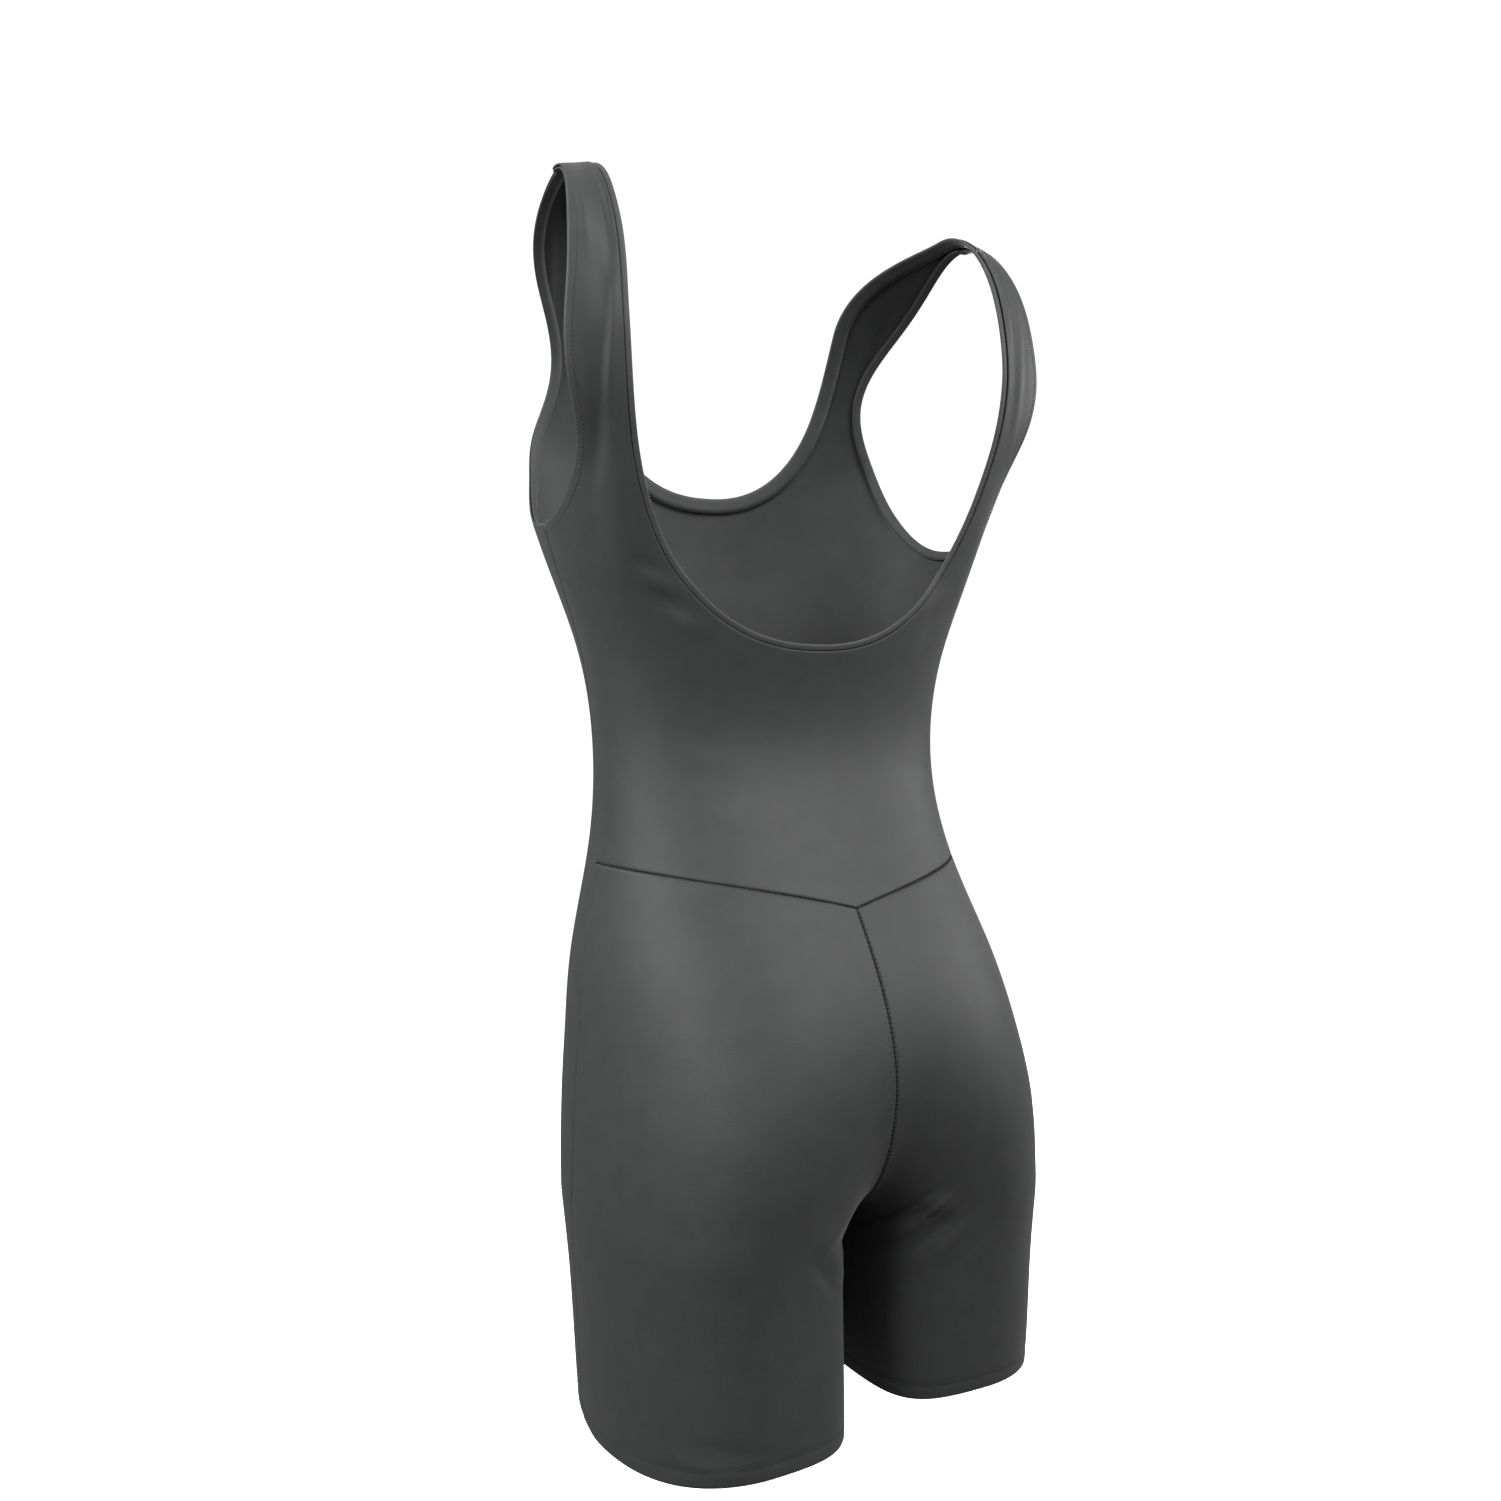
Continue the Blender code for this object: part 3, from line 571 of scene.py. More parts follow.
def add_node(tree, kind, inputs=(), **settings):
    """A new node with its settings, and its inputs set to values or linked from other nodes' sockets."""
    node = tree.nodes.new(kind)
    for name, value in settings.items():
        setattr(node, name, value)
    for name, value in dict(inputs).items():
        if isinstance(value, bpy.types.NodeSocket):
            tree.links.new(value, node.inputs[name])
        else:
            node.inputs[name].default_value = value
    return node


# Weft-knitted nylon and elastane jersey, piece-dyed charcoal. It is matte with a faint satin sheen where it
# curves away, as its filament yarns are smooth. The real wales are 0.5 mm apart, too fine to show, so they
# are drawn 0.9 mm apart.
CHARCOAL, WORN_CHARCOAL = "#353636", "#3e3f3f"
WALE, COURSE = 0.0009, 0.0007
WAVE_BAND = math.pi / 10  # the width of a wave texture's band at a scale of 1
KNIT_WOBBLE, KNIT_DEPTH = 0.6, 0.0002
MOTTLE, GRAIN = 0.016, 0.0011  # how large the dye's patches and the yarn's unevenness are
SMOOTHEST, ROUGHEST = 0.52, 0.64
SPECULAR, SHEEN, SHEEN_ROUGHNESS = 0.30, 0.12, 0.4


def knitted_jersey(name, dark, light, relief):
    """Jersey that is mottled between two tones, with its wales and courses raised by relief."""
    material = bpy.data.materials.new(name)
    material.use_nodes = True
    tree = material.node_tree
    add = partial(add_node, tree)
    surface = tree.nodes["Principled BSDF"]
    surface.inputs["Specular IOR Level"].default_value = SPECULAR
    surface.inputs["Sheen Weight"].default_value = SHEEN
    surface.inputs["Sheen Roughness"].default_value = SHEEN_ROUGHNESS

    place = add("ShaderNodeTexCoord").outputs["Object"]
    patches = {"Vector": place, "Scale": 1 / MOTTLE, "Detail": 2.0, "Roughness": 0.5}
    mottle = add("ShaderNodeTexNoise", patches).outputs["Fac"]
    unevenness = {"Vector": place, "Scale": 1 / GRAIN, "Detail": 2.0, "Roughness": 0.7}
    grain = add("ShaderNodeTexNoise", unevenness).outputs["Fac"]
    both = add("ShaderNodeMath", {0: mottle, 1: grain}, operation="ADD").outputs[0]
    share = add("ShaderNodeMapRange", {"Value": both, "From Min": 0.5, "From Max": 1.5}).outputs["Result"]
    tone = add("ShaderNodeValToRGB", {"Fac": share})
    tone.color_ramp.elements[0].color = linear(dark)
    tone.color_ramp.elements[1].color = linear(light)
    tree.links.new(tone.outputs["Color"], surface.inputs["Base Color"])
    roughness = add(
        "ShaderNodeMapRange",
        {"Value": grain, "From Min": 0.3, "From Max": 0.7, "To Min": SMOOTHEST, "To Max": ROUGHEST},
    ).outputs["Result"]
    tree.links.new(roughness, surface.inputs["Roughness"])

    uv = add("ShaderNodeUVMap", uv_map="UVMap").outputs["UV"]
    loops = {"Vector": uv, "Distortion": KNIT_WOBBLE, "Detail": 1.0}
    wales, courses = (
        add("ShaderNodeTexWave", {**loops, "Scale": WAVE_BAND / gap}, bands_direction=axis).outputs["Fac"]
        for gap, axis in ((WALE, "X"), (COURSE, "Y"))
    )
    knit = add("ShaderNodeMath", {0: wales, 1: courses}, operation="ADD").outputs[0]
    fuzz = add("ShaderNodeMath", {0: grain, 1: knit}, operation="ADD").outputs[0]
    bump = add("ShaderNodeBump", {"Height": fuzz, "Strength": relief, "Distance": KNIT_DEPTH})
    tree.links.new(bump.outputs["Normal"], surface.inputs["Normal"])
    return material


PANEL_JERSEY = knitted_jersey("charcoal jersey", CHARCOAL, WORN_CHARCOAL, relief=0.10)

FRONT_BODICE = bodice_rows(FRONT, FRONT_WAIST_AT_CENTRE, FRONT_FINE)
FRONT_LEG = leg_rows(FRONT, FRONT_WAIST_AT_CENTRE, FRONT_FINE)
front_panel = sewn_cloth(
    "front_panel_cloth",
    [
        half_panel(FRONT, side, rows, seams)
        for side in (1, -1)
        for rows, seams in (
            (FRONT_BODICE, ("neck", "to the waist", False, False)),
            (FRONT_LEG, (False, True, False, "hem")),
        )
    ],
    PANEL_JERSEY,
)
sewn_in(front_panel, "front_panel")

# Back bodice
# The back above the waist, one piece of the same jersey, cut on the fold with wide-set straps, a deep
# scoop and a lower edge that dips to a shallow V. It is seamed to the front at the sides and the
# shoulders, and to the back leg pieces below.
BACK_FINE = 6
NECKLINES[BACK] = (-0.092, 0.217, 0.142)
V_AT_CENTRE = -0.471
CREASES[BACK] = [
    # The straps' hollows, and the ridge and trough down each side of the back
    (0, 0.154, -0.050, 0.152, -0.160, -0.0016, 0.0080),
    (0, 0.150, -0.140, 0.118, -0.320, 0.0022, 0.0110),
    (0, 0.120, -0.180, 0.088, -0.320, -0.0016, 0.0090),
    # Lengthwise folds on the straps
    (1, 0.151, 0.010, 0.147, -0.110, -0.0022, 0.0035),
    (1, 0.158, 0.005, 0.160, -0.090, 0.0017, 0.0032),
    (1, 0.145, -0.060, 0.150, -0.190, 0.0019, 0.0036),
    (1, 0.158, -0.110, 0.146, -0.230, -0.0021, 0.0042),
    (1, 0.140, 0.012, 0.143, -0.060, 0.0014, 0.0030),
    (-1, 0.149, 0.010, 0.153, -0.120, -0.0018, 0.0036),
    (-1, 0.158, -0.040, 0.150, -0.180, 0.0018, 0.0040),
    (-1, 0.146, -0.010, 0.148, -0.100, 0.0015, 0.0032),
    # Drag lines from the neckline towards the side
    (1, 0.130, -0.250, 0.098, -0.266, -0.0008, 0.0032),
    (1, 0.126, -0.259, 0.090, -0.277, 0.0009, 0.0034),
    (1, 0.122, -0.270, 0.078, -0.291, -0.0009, 0.0038),
    (1, 0.112, -0.283, 0.066, -0.304, 0.0007, 0.0046),
    (-1, 0.118, -0.258, 0.078, -0.290, 0.0008, 0.0050),
    # Slight give across the waist
    (1, 0.120, -0.372, 0.040, -0.384, 0.0005, 0.0070),
    (-1, 0.118, -0.392, 0.046, -0.382, -0.0005, 0.0070),
    (1, 0.100, -0.412, 0.020, -0.424, 0.0005, 0.0080),
]

BACK_BODICE = bodice_rows(BACK, V_AT_CENTRE, BACK_FINE)
back_bodice = sewn_cloth(
    "back_bodice_cloth",
    [
        half_panel(BACK, side, BACK_BODICE, ("neck", True, False, False), (0.0, 0.0, GAP / 2))
        for side in (1, -1)
    ],
    PANEL_JERSEY,
)
sewn_in(back_bodice, "back_bodice")

# Back leg pieces, left and right
# Two mirrored pieces of the same jersey from the V seam to the hems. They are sewn to each other down the
# centre back, and each to the front at its side and its inseam. Each hem rides up a little behind and
# inside the leg.
LEG_FINE = 8
SIDES = ((1, "left"), (-1, "right"))
CREASES[BACK] += [
    # The pull from the crotch
    (0, 0.062, -0.664, 0.020, -0.646, 0.0016, 0.0070),
    # Short wrinkles inside the left thigh
    (1, 0.050, -0.655, 0.020, -0.694, 0.0017, 0.0028),
    (1, 0.062, -0.659, 0.030, -0.699, -0.0017, 0.0030),
    (1, 0.038, -0.651, 0.012, -0.682, -0.0013, 0.0028),
    # Diagonal ones under the right side of the seat
    (-1, 0.040, -0.634, 0.006, -0.686, -0.0022, 0.0028),
    (-1, 0.050, -0.640, 0.012, -0.692, 0.0020, 0.0027),
    (-1, 0.060, -0.646, 0.020, -0.697, -0.0018, 0.0029),
    (-1, 0.073, -0.651, 0.030, -0.702, 0.0014, 0.0034),
    (-1, 0.088, -0.656, 0.044, -0.708, -0.0009, 0.0045),
    # Slight pull above the left hem
    (1, 0.150, -0.768, 0.090, -0.780, 0.0006, 0.0040),
    (1, 0.140, -0.758, 0.070, -0.772, -0.0005, 0.0045),
]

BACK_LEG = leg_rows(BACK, V_AT_CENTRE, LEG_FINE)
for side, name in SIDES:
    shift = (side * GAP / 2, 0.0, -GAP / 2)
    leg = sewn_cloth(
        f"back_leg_{name}_cloth",
        [half_panel(BACK, side, BACK_LEG, (True, True, True, "hem"), shift)],
        PANEL_JERSEY,
    )
    sewn_in(leg, f"back_leg_{name}")

# Neck binding
# A strip of the same jersey folded round the whole neckline, front and back. It stands 4.5 mm above the
# panels' edges as a soft rounded rim, and its inner layer lies flat under them.
BINDING_PROUD, BINDING_DEPTH = 0.0045, 0.007
NECK, ARMHOLE, BOTTOM = "neck", "armhole", "bottom"


def edge_of(face, rows, edge, fineness, upwards):
    """One edge of a panel as (face, heights, turns), read up or down."""
    place = {
        NECK: (slice(None), 0),
        ARMHOLE: (slice(0, ARMHOLE_CELLS * fineness + 1), -1),
        BOTTOM: (-1, slice(None)),
    }[edge]
    order = slice(None, None, -1) if upwards else slice(None)
    return face, rows[0][place][order], rows[1][place][order]


def rim(stretches, side):
    """Points and outward directions along panel edges joined end to end, on half of the upright form."""
    points = np.concatenate([cloth(*stretch, side)[:-1] for stretch in stretches])
    out = np.concatenate([outward(*stretch, side)[:-1] for stretch in stretches])
    last_face, heights, turns = stretches[-1]
    end = np.array([cloth(last_face, heights[-1:], turns[-1:], side)[0]])
    end_out = outward(last_face, heights[-1:], turns[-1:], side)
    mirror = np.array([side, 1.0, 1.0])
    return np.concatenate([points, end]) * mirror, np.concatenate([out, end_out]) * mirror


def sewn_strip(name, points, out, profile, material):
    """A closed strip that follows a ring of points, with the cloth on its right as seen from outside.

    The profile is a closed loop of (away from the cloth's edge, out of its face).
    """
    ahead = np.roll(points, -1, axis=0) - np.roll(points, 1, axis=0)
    away = np.cross(out, ahead)
    away /= np.linalg.norm(away, axis=1, keepdims=True)
    run = np.concatenate([[0.0], np.cumsum(np.linalg.norm(np.diff(points, axis=0), axis=1))])
    shape = bmesh.new()
    layer = shape.loops.layers.uv.new("UVMap")
    rings = []
    for point, a, o in zip(points, away, out):
        ring = np.array([point + a * along + o * up for along, up in profile])
        rings.append([shape.verts.new(corner) for corner in stepping(ring)])
    count = len(profile)
    girth = np.cumsum([0.0] + [math.dist(profile[k], profile[(k + 1) % count]) for k in range(count)])
    for i, start in enumerate(run):
        following = rings[(i + 1) % len(rings)]
        end = run[i + 1] if i + 1 < len(run) else start + math.dist(points[-1], points[0])
        for k in range(count):
            corners = (rings[i][k], rings[i][(k + 1) % count], following[(k + 1) % count], following[k])
            places = ((girth[k], start), (girth[k + 1], start), (girth[k + 1], end), (girth[k], end))
            for loop, place in zip(shape.faces.new(corners).loops, places):
                loop[layer].uv = place
    bmesh.ops.recalc_face_normals(shape, faces=shape.faces)
    return finished(name, shape, material)


# The same jersey drawn tight over the edge, which opens its loops and makes it look lighter and rougher.
STRETCHED, STRETCHED_WORN = "#3d3e3e", "#4a4b4b"
STRIP_JERSEY = knitted_jersey("charcoal binding jersey", STRETCHED, STRETCHED_WORN, relief=0.25)
# The folded strip's section, round its outer layer, over the rim and down its inner layer
BINDING_PROFILE = [
    (-BINDING_DEPTH, -0.0024), (-0.0035, -0.0021), (0.0001, -0.0018), (0.0005, -0.0011), (0.0012, -0.0009),
    (0.0028, -0.0008), (0.0040, -0.0009), (BINDING_PROUD - 0.0001, -0.0012), (BINDING_PROUD, -0.0020),
    (0.0040, -0.0026), (0.0030, -0.0029), (0.0010, -0.0030), (-0.0030, -0.0031), (-BINDING_DEPTH, -0.0034),
]
NECK_EDGES = [
    edge_of(FRONT, FRONT_BODICE, NECK, FRONT_FINE, upwards=True),
    edge_of(BACK, BACK_BODICE, NECK, BACK_FINE, upwards=False),
]
left_rim, left_out = rim(NECK_EDGES, 1)
right_rim, right_out = rim(NECK_EDGES, -1)
neck_ring = np.concatenate([left_rim, right_rim[-2:0:-1]])
neck_out = np.concatenate([left_out, right_out[-2:0:-1]])
neck_binding = sewn_strip("neck_binding_strip", neck_ring, neck_out, BINDING_PROFILE, STRIP_JERSEY)
sewn_in(neck_binding, "neck_binding")

# Armhole facings, left and right
# A narrow strip of the same jersey inside each armhole, sewn along its edge and turned in, which holds the
# edge soft and round. One row of stitching keeps it flat.
FACING_PROFILE = [
    (-BINDING_DEPTH, -0.0031), (-0.0035, -0.0024), (-0.0006, -0.0019), (0.0002, -0.0020), (0.0005, -0.0024),
    (0.0002, -0.0028), (-0.0006, -0.0030), (-0.0035, -0.0034), (-BINDING_DEPTH, -0.0041),
]
ARMHOLE_EDGES = [
    edge_of(BACK, BACK_BODICE, ARMHOLE, BACK_FINE, upwards=True),
    edge_of(FRONT, FRONT_BODICE, ARMHOLE, FRONT_FINE, upwards=False),
]


def closed_rim(edges, side):
    """The rim of an opening on one side, once round with the cloth on its right as seen from outside."""
    points, out = rim(edges, side)
    ring = slice(None, -1) if side == 1 else slice(-1, 0, -1)
    return points[ring], out[ring]


for side, name in SIDES:
    points, out = closed_rim(ARMHOLE_EDGES, side)
    facing = sewn_strip(f"armhole_facing_{name}", points, out, FACING_PROFILE, STRIP_JERSEY)
    sewn_in(facing, f"armhole_binding_{name}")

# Hems, left and right
# The cloth at the end of each leg, turned up 12 mm inside and held by one row of stitching, which draws a
# shallow line into the outer layer.
HEM_DEPTH = 0.012
HEM_PROFILE = [
    (-HEM_DEPTH, -0.0024), (-0.0060, -0.0021), (-0.0010, -0.0019), (0.0001, -0.0020), (0.0005, -0.0025),
    (0.0001, -0.0029), (-0.0010, -0.0031), (-0.0060, -0.0032), (-HEM_DEPTH, -0.0034),
]
HEM_EDGES = [
    edge_of(BACK, BACK_LEG, BOTTOM, LEG_FINE, upwards=False),
    edge_of(FRONT, FRONT_LEG, BOTTOM, FRONT_FINE, upwards=True),
]
for side, name in SIDES:
    points, out = closed_rim(HEM_EDGES, side)
    hem = sewn_strip(f"hem_{name}_turnup", points, out, HEM_PROFILE, PANEL_JERSEY)
    sewn_in(hem, f"hem_{name}")

# Stitching
# Polyester thread in the cloth's own colour: short ticks of flatlock that bridge the side, centre-back and
# V seams, and single rows along the hems, the armholes and under the neck binding.


def stitch_tree(name):
    """Node group that lays stitches along the edges of a mesh whose points carry an "out" direction."""
    tree = bpy.data.node_groups.new(name, "GeometryNodeTree")
    tree.is_modifier = True
    tree.interface.new_socket("Geometry", in_out="INPUT", socket_type="NodeSocketGeometry")
    for label, kind, value in (
        ("Pitch", "NodeSocketFloat", 0.0025),
        ("Stitch length", "NodeSocketFloat", 0.0020),
        ("Thread thickness", "NodeSocketFloat", 0.0003),
        ("Turn across the seam", "NodeSocketFloat", 0.0),
        ("Unevenness", "NodeSocketFloat", 0.1),
        ("Seed", "NodeSocketInt", 0),
        ("Thread", "NodeSocketMaterial", None),
    ):
        socket = tree.interface.new_socket(label, in_out="INPUT", socket_type=kind)
        if value is not None:
            socket.default_value = value
    tree.interface.new_socket("Geometry", in_out="OUTPUT", socket_type="NodeSocketGeometry")

    add = partial(add_node, tree)
    given = add("NodeGroupInput").outputs
    line = add("GeometryNodeMeshToCurve", {"Mesh": given["Geometry"]}).outputs["Curve"]
    places = add("GeometryNodeResampleCurve", {"Curve": line, "Length": given["Pitch"]}, mode="LENGTH")

    out = add("GeometryNodeInputNamedAttribute", {"Name": "out"}, data_type="FLOAT_VECTOR")
    facing_out = {"Vector": out.outputs["Attribute"]}
    upright = add("FunctionNodeAlignRotationToVector", facing_out, axis="Z").outputs["Rotation"]
    ahead = add("GeometryNodeInputTangent").outputs["Tangent"]
    lying = {"Rotation": upright, "Vector": ahead}
    along = add("FunctionNodeAlignRotationToVector", lying, axis="X", pivot_axis="Z").outputs["Rotation"]

    chance = add("FunctionNodeRandomValue", {"Seed": given["Seed"]}, data_type="FLOAT")
    for socket in chance.inputs:
        if socket.type == "VALUE" and socket.name in ("Min", "Max"):
            socket.default_value = -1.0 if socket.name == "Min" else 1.0
    loose = next(socket for socket in chance.outputs if socket.type == "VALUE")
    drift = add("ShaderNodeMath", {0: loose, 1: given["Unevenness"]}, operation="MULTIPLY").outputs[0]
    angle = add("ShaderNodeMath", {0: drift, 1: given["Turn across the seam"]}, operation="ADD").outputs[0]
    spin = add("FunctionNodeAxisAngleToRotation", {"Axis": (0.0, 0.0, 1.0), "Angle": angle})
    across = {"Rotation": along, "Rotate By": spin.outputs["Rotation"]}
    turned = add("FunctionNodeRotateRotation", across, rotation_space="LOCAL").outputs["Rotation"]

    ball = add("GeometryNodeMeshUVSphere", {"Segments": 6, "Rings": 4, "Radius": 0.5}).outputs["Mesh"]
    thickness = given["Thread thickness"]
    size = add("ShaderNodeCombineXYZ", {"X": given["Stitch length"], "Y": thickness, "Z": thickness})
    stitch = add("GeometryNodeTransform", {"Geometry": ball, "Scale": size.outputs["Vector"]})
    row = add(
        "GeometryNodeInstanceOnPoints",
        {"Points": places.outputs["Curve"], "Instance": stitch.outputs["Geometry"], "Rotation": turned},
    ).outputs["Instances"]
    real = add("GeometryNodeRealizeInstances", {"Geometry": row}).outputs["Geometry"]
    thread_row = add("GeometryNodeSetMaterial", {"Geometry": real, "Material": given["Thread"]})
    add("NodeGroupOutput", {"Geometry": thread_row.outputs["Geometry"]})
    return tree


def sewn_row(name, lines, sizes):
    """A plain mesh of stitches along lines of (points, out directions, whether the line is closed)."""
    points = np.concatenate([line[0] for line in lines])
    edges, start = [], 0
    for places, _, closes in lines:
        stop = start + len(places)
        edges += [(i, i + 1) for i in range(start, stop - 1)] + ([(stop - 1, start)] if closes else [])
        start = stop
    mesh = bpy.data.meshes.new(name + " line")
    mesh.from_pydata([tuple(point) for point in points], edges, [])
    out = mesh.attributes.new("out", "FLOAT_VECTOR", "POINT")
    out.data.foreach_set("vector", np.concatenate([line[1] for line in lines]).astype(np.float32).ravel())
    piece = bpy.data.objects.new(name, mesh)
    bpy.context.scene.collection.objects.link(piece)
    layout = piece.modifiers.new("Stitches", "NODES")
    layout.node_group = STITCHES
    for socket in STITCHES.interface.items_tree:
        if socket.in_out == "INPUT" and socket.name in sizes:
            layout[socket.identifier] = sizes[socket.name]
    evaluated = piece.evaluated_get(bpy.context.evaluated_depsgraph_get())
    stitched = bpy.data.meshes.new_from_object(evaluated)
    piece.modifiers.clear()
    piece.data = stitched
    stitched.shade_smooth()
    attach(piece, "root")
    return piece


def laid(points, out, away=0.0, lift=0.0, closes=False):
    """A line of stitching: shifted across its edge and lifted off the cloth, and moved into the pose."""
    if closes:
        ahead = np.roll(points, -1, axis=0) - np.roll(points, 1, axis=0)
    else:
        ahead = np.gradient(points, axis=0)
    across = np.cross(out, ahead)
    across /= np.linalg.norm(across, axis=1, keepdims=True)
    return stepping(points + across * away + out * lift), out, closes


def seam_line(face, heights, turns, side, lift):
    """A line of stitching straight over a seam between panels."""
    mirror = np.array([side, 1.0, 1.0])
    points, out = cloth(face, heights, turns, side) * mirror, outward(face, heights, turns, side) * mirror
    return laid(points, out, lift=lift)


# Spun polyester, dyed to match and duller than the cloth. It is drawn darker than the cloth all over, as
# painted shade for the grooves it sinks into, and its tone varies at random along its twist.
THREAD_SHADED_DARK, THREAD_SHADED_LIGHT = "#181919", "#2b2c2c"
TWIST = 0.0004  # the length of the thread's twist
thread = bpy.data.materials.new("charcoal polyester thread")
thread.use_nodes = True
tree = thread.node_tree
fibres = add_node(tree, "ShaderNodeTexCoord").outputs["Object"]
twist = add_node(tree, "ShaderNodeTexNoise", {"Vector": fibres, "Scale": 1 / TWIST, "Detail": 1.0})
shade = add_node(tree, "ShaderNodeValToRGB", {"Fac": twist.outputs["Fac"]})
shade.color_ramp.elements[0].color = linear(THREAD_SHADED_DARK)
shade.color_ramp.elements[1].color = linear(THREAD_SHADED_LIGHT)
thread_surface = tree.nodes["Principled BSDF"]
tree.links.new(shade.outputs["Color"], thread_surface.inputs["Base Color"])
thread_surface.inputs["Roughness"].default_value = 0.75
STITCHES = stitch_tree("stitches along a seam")

# Flatlock: ticks across the seams, which sink in at the sides and the waist and stand up down the centre
SEAM_END, CROTCH_END = 0.003, 0.012  # how far the ticks stop from a seam's ends and from the crotch
SIDE_LIFT, WAIST_LIFT, CENTRE_LIFT = -0.0001, -0.0003, 0.0002
SEAM_TICKS = {
    "Pitch": 0.0028, "Stitch length": 0.0038, "Thread thickness": 0.00052,
    "Turn across the seam": math.radians(78), "Unevenness": 0.10, "Seed": 3, "Thread": thread,
}
side_heights = np.linspace(ARMHOLE_BOTTOM - SEAM_END, HEM + SEAM_END, 400)
back_heights = np.linspace(V_AT_CENTRE - SEAM_END, CROTCH + CROTCH_END, 160)
waist_heights, waist_turns = even(BACK, waist_edge(BACK, V_AT_CENTRE), 120)
seam_lines = []
for side in (1, -1):
    seam_lines.append(seam_line(BACK, side_heights, side_turn(BACK, side_heights), side, SIDE_LIFT))
    seam_lines.append(seam_line(BACK, waist_heights[1:-1], waist_turns[1:-1], side, WAIST_LIFT))
centre = cloth(BACK, back_heights, centre_turn(BACK, back_heights))
centre[:, 0] = 0.0
straight_out = outward(BACK, back_heights, centre_turn(BACK, back_heights))
straight_out[:, 0] = 0.0
straight_out /= np.linalg.norm(straight_out, axis=1, keepdims=True)
seam_lines.append(laid(centre, straight_out, lift=CENTRE_LIFT))
sewn_row("seam_stitches", seam_lines, SEAM_TICKS)

# Single rows: each lies this far from its edge, sunk a little into the cloth
ARMHOLE_LINE, BINDING_LINE = 0.0052, 0.0020
ROW_LIFT, BINDING_LIFT = -0.0001, -0.0002
ROW_STITCHES = {
    "Pitch": 0.0027, "Stitch length": 0.0021, "Thread thickness": 0.00030,
    "Turn across the seam": 0.0, "Unevenness": 0.05, "Seed": 8, "Thread": thread,
}
edge_lines = []
for side in (1, -1):
    sign = -side  # the mirrored half's edges run the other way
    for edges, away in ((HEM_EDGES, HEM_LINE), (ARMHOLE_EDGES, ARMHOLE_LINE)):
        points, out = rim(edges, side)
        edge_lines.append(laid(points[:-1], out[:-1], away=sign * away, lift=ROW_LIFT, closes=True))
edge_lines.append(laid(neck_ring, neck_out, away=-BINDING_LINE, lift=BINDING_LIFT, closes=True))
sewn_row("edge_stitches", edge_lines, ROW_STITCHES)

# Camera
# It stands close behind the wearer's left shoulder blade, above the waist, and looks very slightly down, as
# the photograph was taken. Its lens is short, so the near shoulder and hip look large.
EYE = Vector((0.4003, 0.7667, -0.3496))
AZIMUTH, DOWN = math.radians(153.57), math.radians(1.73)
TO_RIGHT = Vector((math.cos(AZIMUTH), math.sin(AZIMUTH), 0.0))
TO_CAMERA = Vector((math.sin(AZIMUTH), -math.cos(AZIMUTH), 0.0))
UP = Vector((0.0, 0.0, 1.0))
TOWARDS_EYE = TO_CAMERA * math.cos(DOWN) + UP * math.sin(DOWN)
lens = bpy.data.cameras.new("camera")
lens.sensor_width = 36.0
lens.lens = 29.5
lens.clip_start = 0.01
camera = bpy.data.objects.new("camera", lens)
camera.location = EYE
camera.rotation_euler = (-TOWARDS_EYE).to_track_quat("-Z", "Y").to_euler()
bpy.context.scene.collection.objects.link(camera)
bpy.context.scene.camera = camera

# Light
# Soft boxes in a white studio: the main one high on the camera's right, smaller ones that rim both sides
# and fill the shoulder, and one beyond the object that lifts its far side.
MIDDLE = Vector((0.0, 0.0, -0.42))
AIR_LIGHT = 0.15


def soft_box(name, right, up, near, size, watts):
    """A square light facing the object, so far to the camera's right, above it and towards the camera."""
    data = bpy.data.lights.new(name, "AREA")
    data.size = size
    data.energy = watts
    light = bpy.data.objects.new(name, data)
    light.location = MIDDLE + TO_RIGHT * right + TO_CAMERA * near + UP * up
    light.rotation_euler = (MIDDLE - light.location).to_track_quat("-Z", "Y").to_euler()
    bpy.context.scene.collection.objects.link(light)


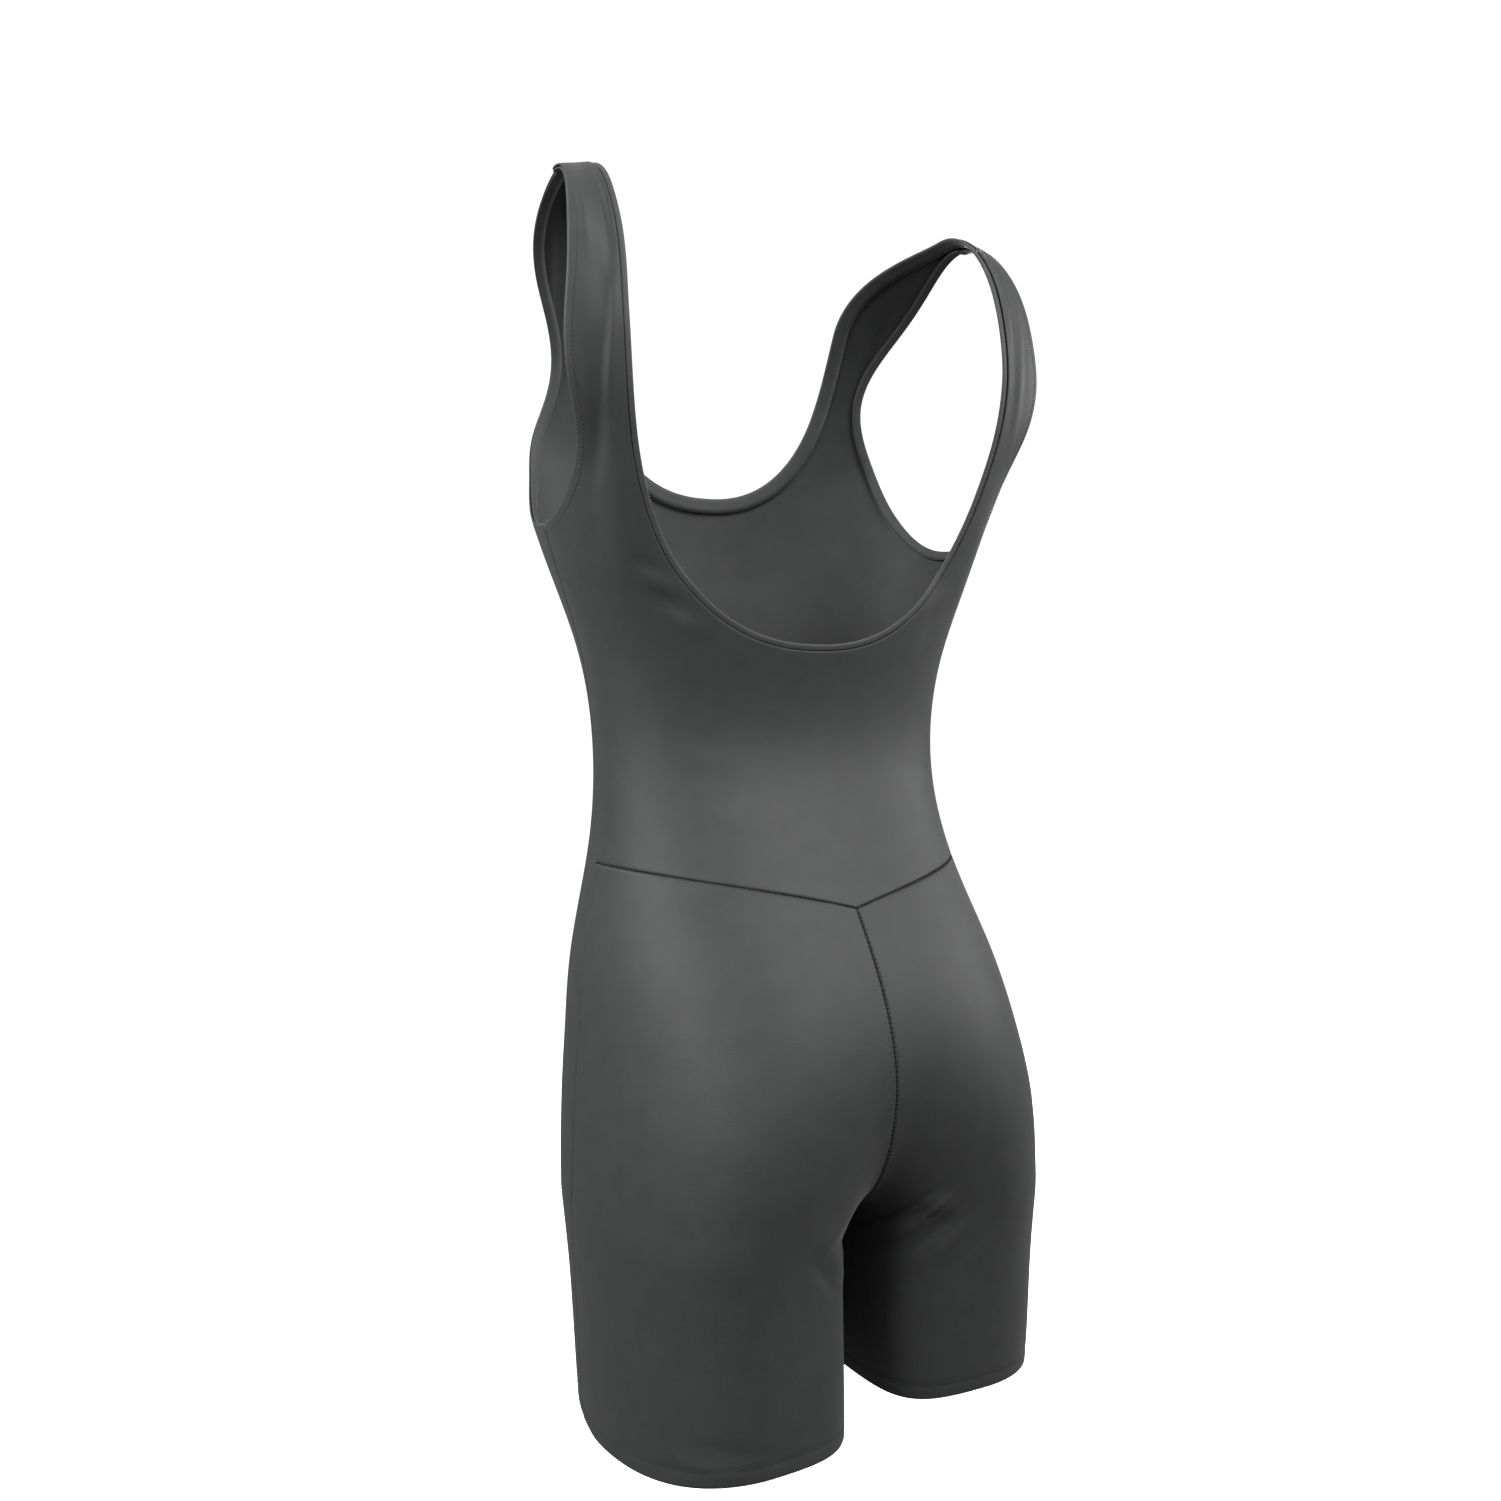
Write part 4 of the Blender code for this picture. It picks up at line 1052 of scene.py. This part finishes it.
soft_box("key", right=1.3, up=1.95, near=1.2, size=1.4, watts=68)
soft_box("right rim", right=1.9, up=0.7, near=-0.5, size=0.8, watts=20)
soft_box("left rim", right=-1.3, up=0.9, near=0.3, size=0.6, watts=20)
soft_box("shoulder fill", right=-0.75, up=0.42, near=0.95, size=0.5, watts=8)
soft_box("far side", right=0.4, up=1.0, near=-2.2, size=1.2, watts=40)

world = bpy.data.worlds.new("studio air")
bpy.context.scene.world = world
world.use_nodes = True
air = world.node_tree.nodes["Background"]
air.inputs["Color"].default_value = linear("#ffffff")
air.inputs["Strength"].default_value = AIR_LIGHT
bpy.context.scene.view_settings.view_transform = "Standard"

# Studio paper
# A plain white floor that curves up into a wall all round, lit evenly from behind. It throws no light of
# its own on the cloth.
FLOOR_HEIGHT, FLOOR_RADIUS, CURVE_RADIUS, WALL_HEIGHT = -1.25, 9.0, 3.0, 9.0
CURVE_STEPS, ROUND_STEPS = 12, 64
GLOW = 0.97
# Matt coated paper, so it has no shine
paper = bpy.data.materials.new("back-lit white paper")
paper.use_nodes = True
paper_surface = paper.node_tree.nodes["Principled BSDF"]
paper_surface.inputs["Base Color"].default_value = linear("#e6e6e4")
paper_surface.inputs["Roughness"].default_value = 0.95
paper_surface.inputs["Emission Color"].default_value = linear("#ffffff")
paper_surface.inputs["Emission Strength"].default_value = GLOW
outline = [(0.0, FLOOR_HEIGHT)]
for step in range(CURVE_STEPS + 1):
    bend = math.radians(90 / CURVE_STEPS * step)
    rise = CURVE_RADIUS * (1 - math.cos(bend))
    outline.append((FLOOR_RADIUS + CURVE_RADIUS * math.sin(bend), FLOOR_HEIGHT + rise))
outline.append((FLOOR_RADIUS + CURVE_RADIUS, WALL_HEIGHT))
sweep = bmesh.new()
line = [sweep.verts.new((x, 0.0, z)) for x, z in outline]
edges = [sweep.edges.new(pair) for pair in zip(line, line[1:])]
bmesh.ops.spin(
    sweep,
    geom=line + edges,
    axis=(0, 0, 1),
    cent=(0, 0, 0),
    angle=math.tau,
    steps=ROUND_STEPS,
    use_merge=True,
)
bmesh.ops.remove_doubles(sweep, verts=sweep.verts, dist=0.001)
backdrop = finished("studio paper", sweep, paper)
backdrop.visible_diffuse = False
backdrop.visible_glossy = False
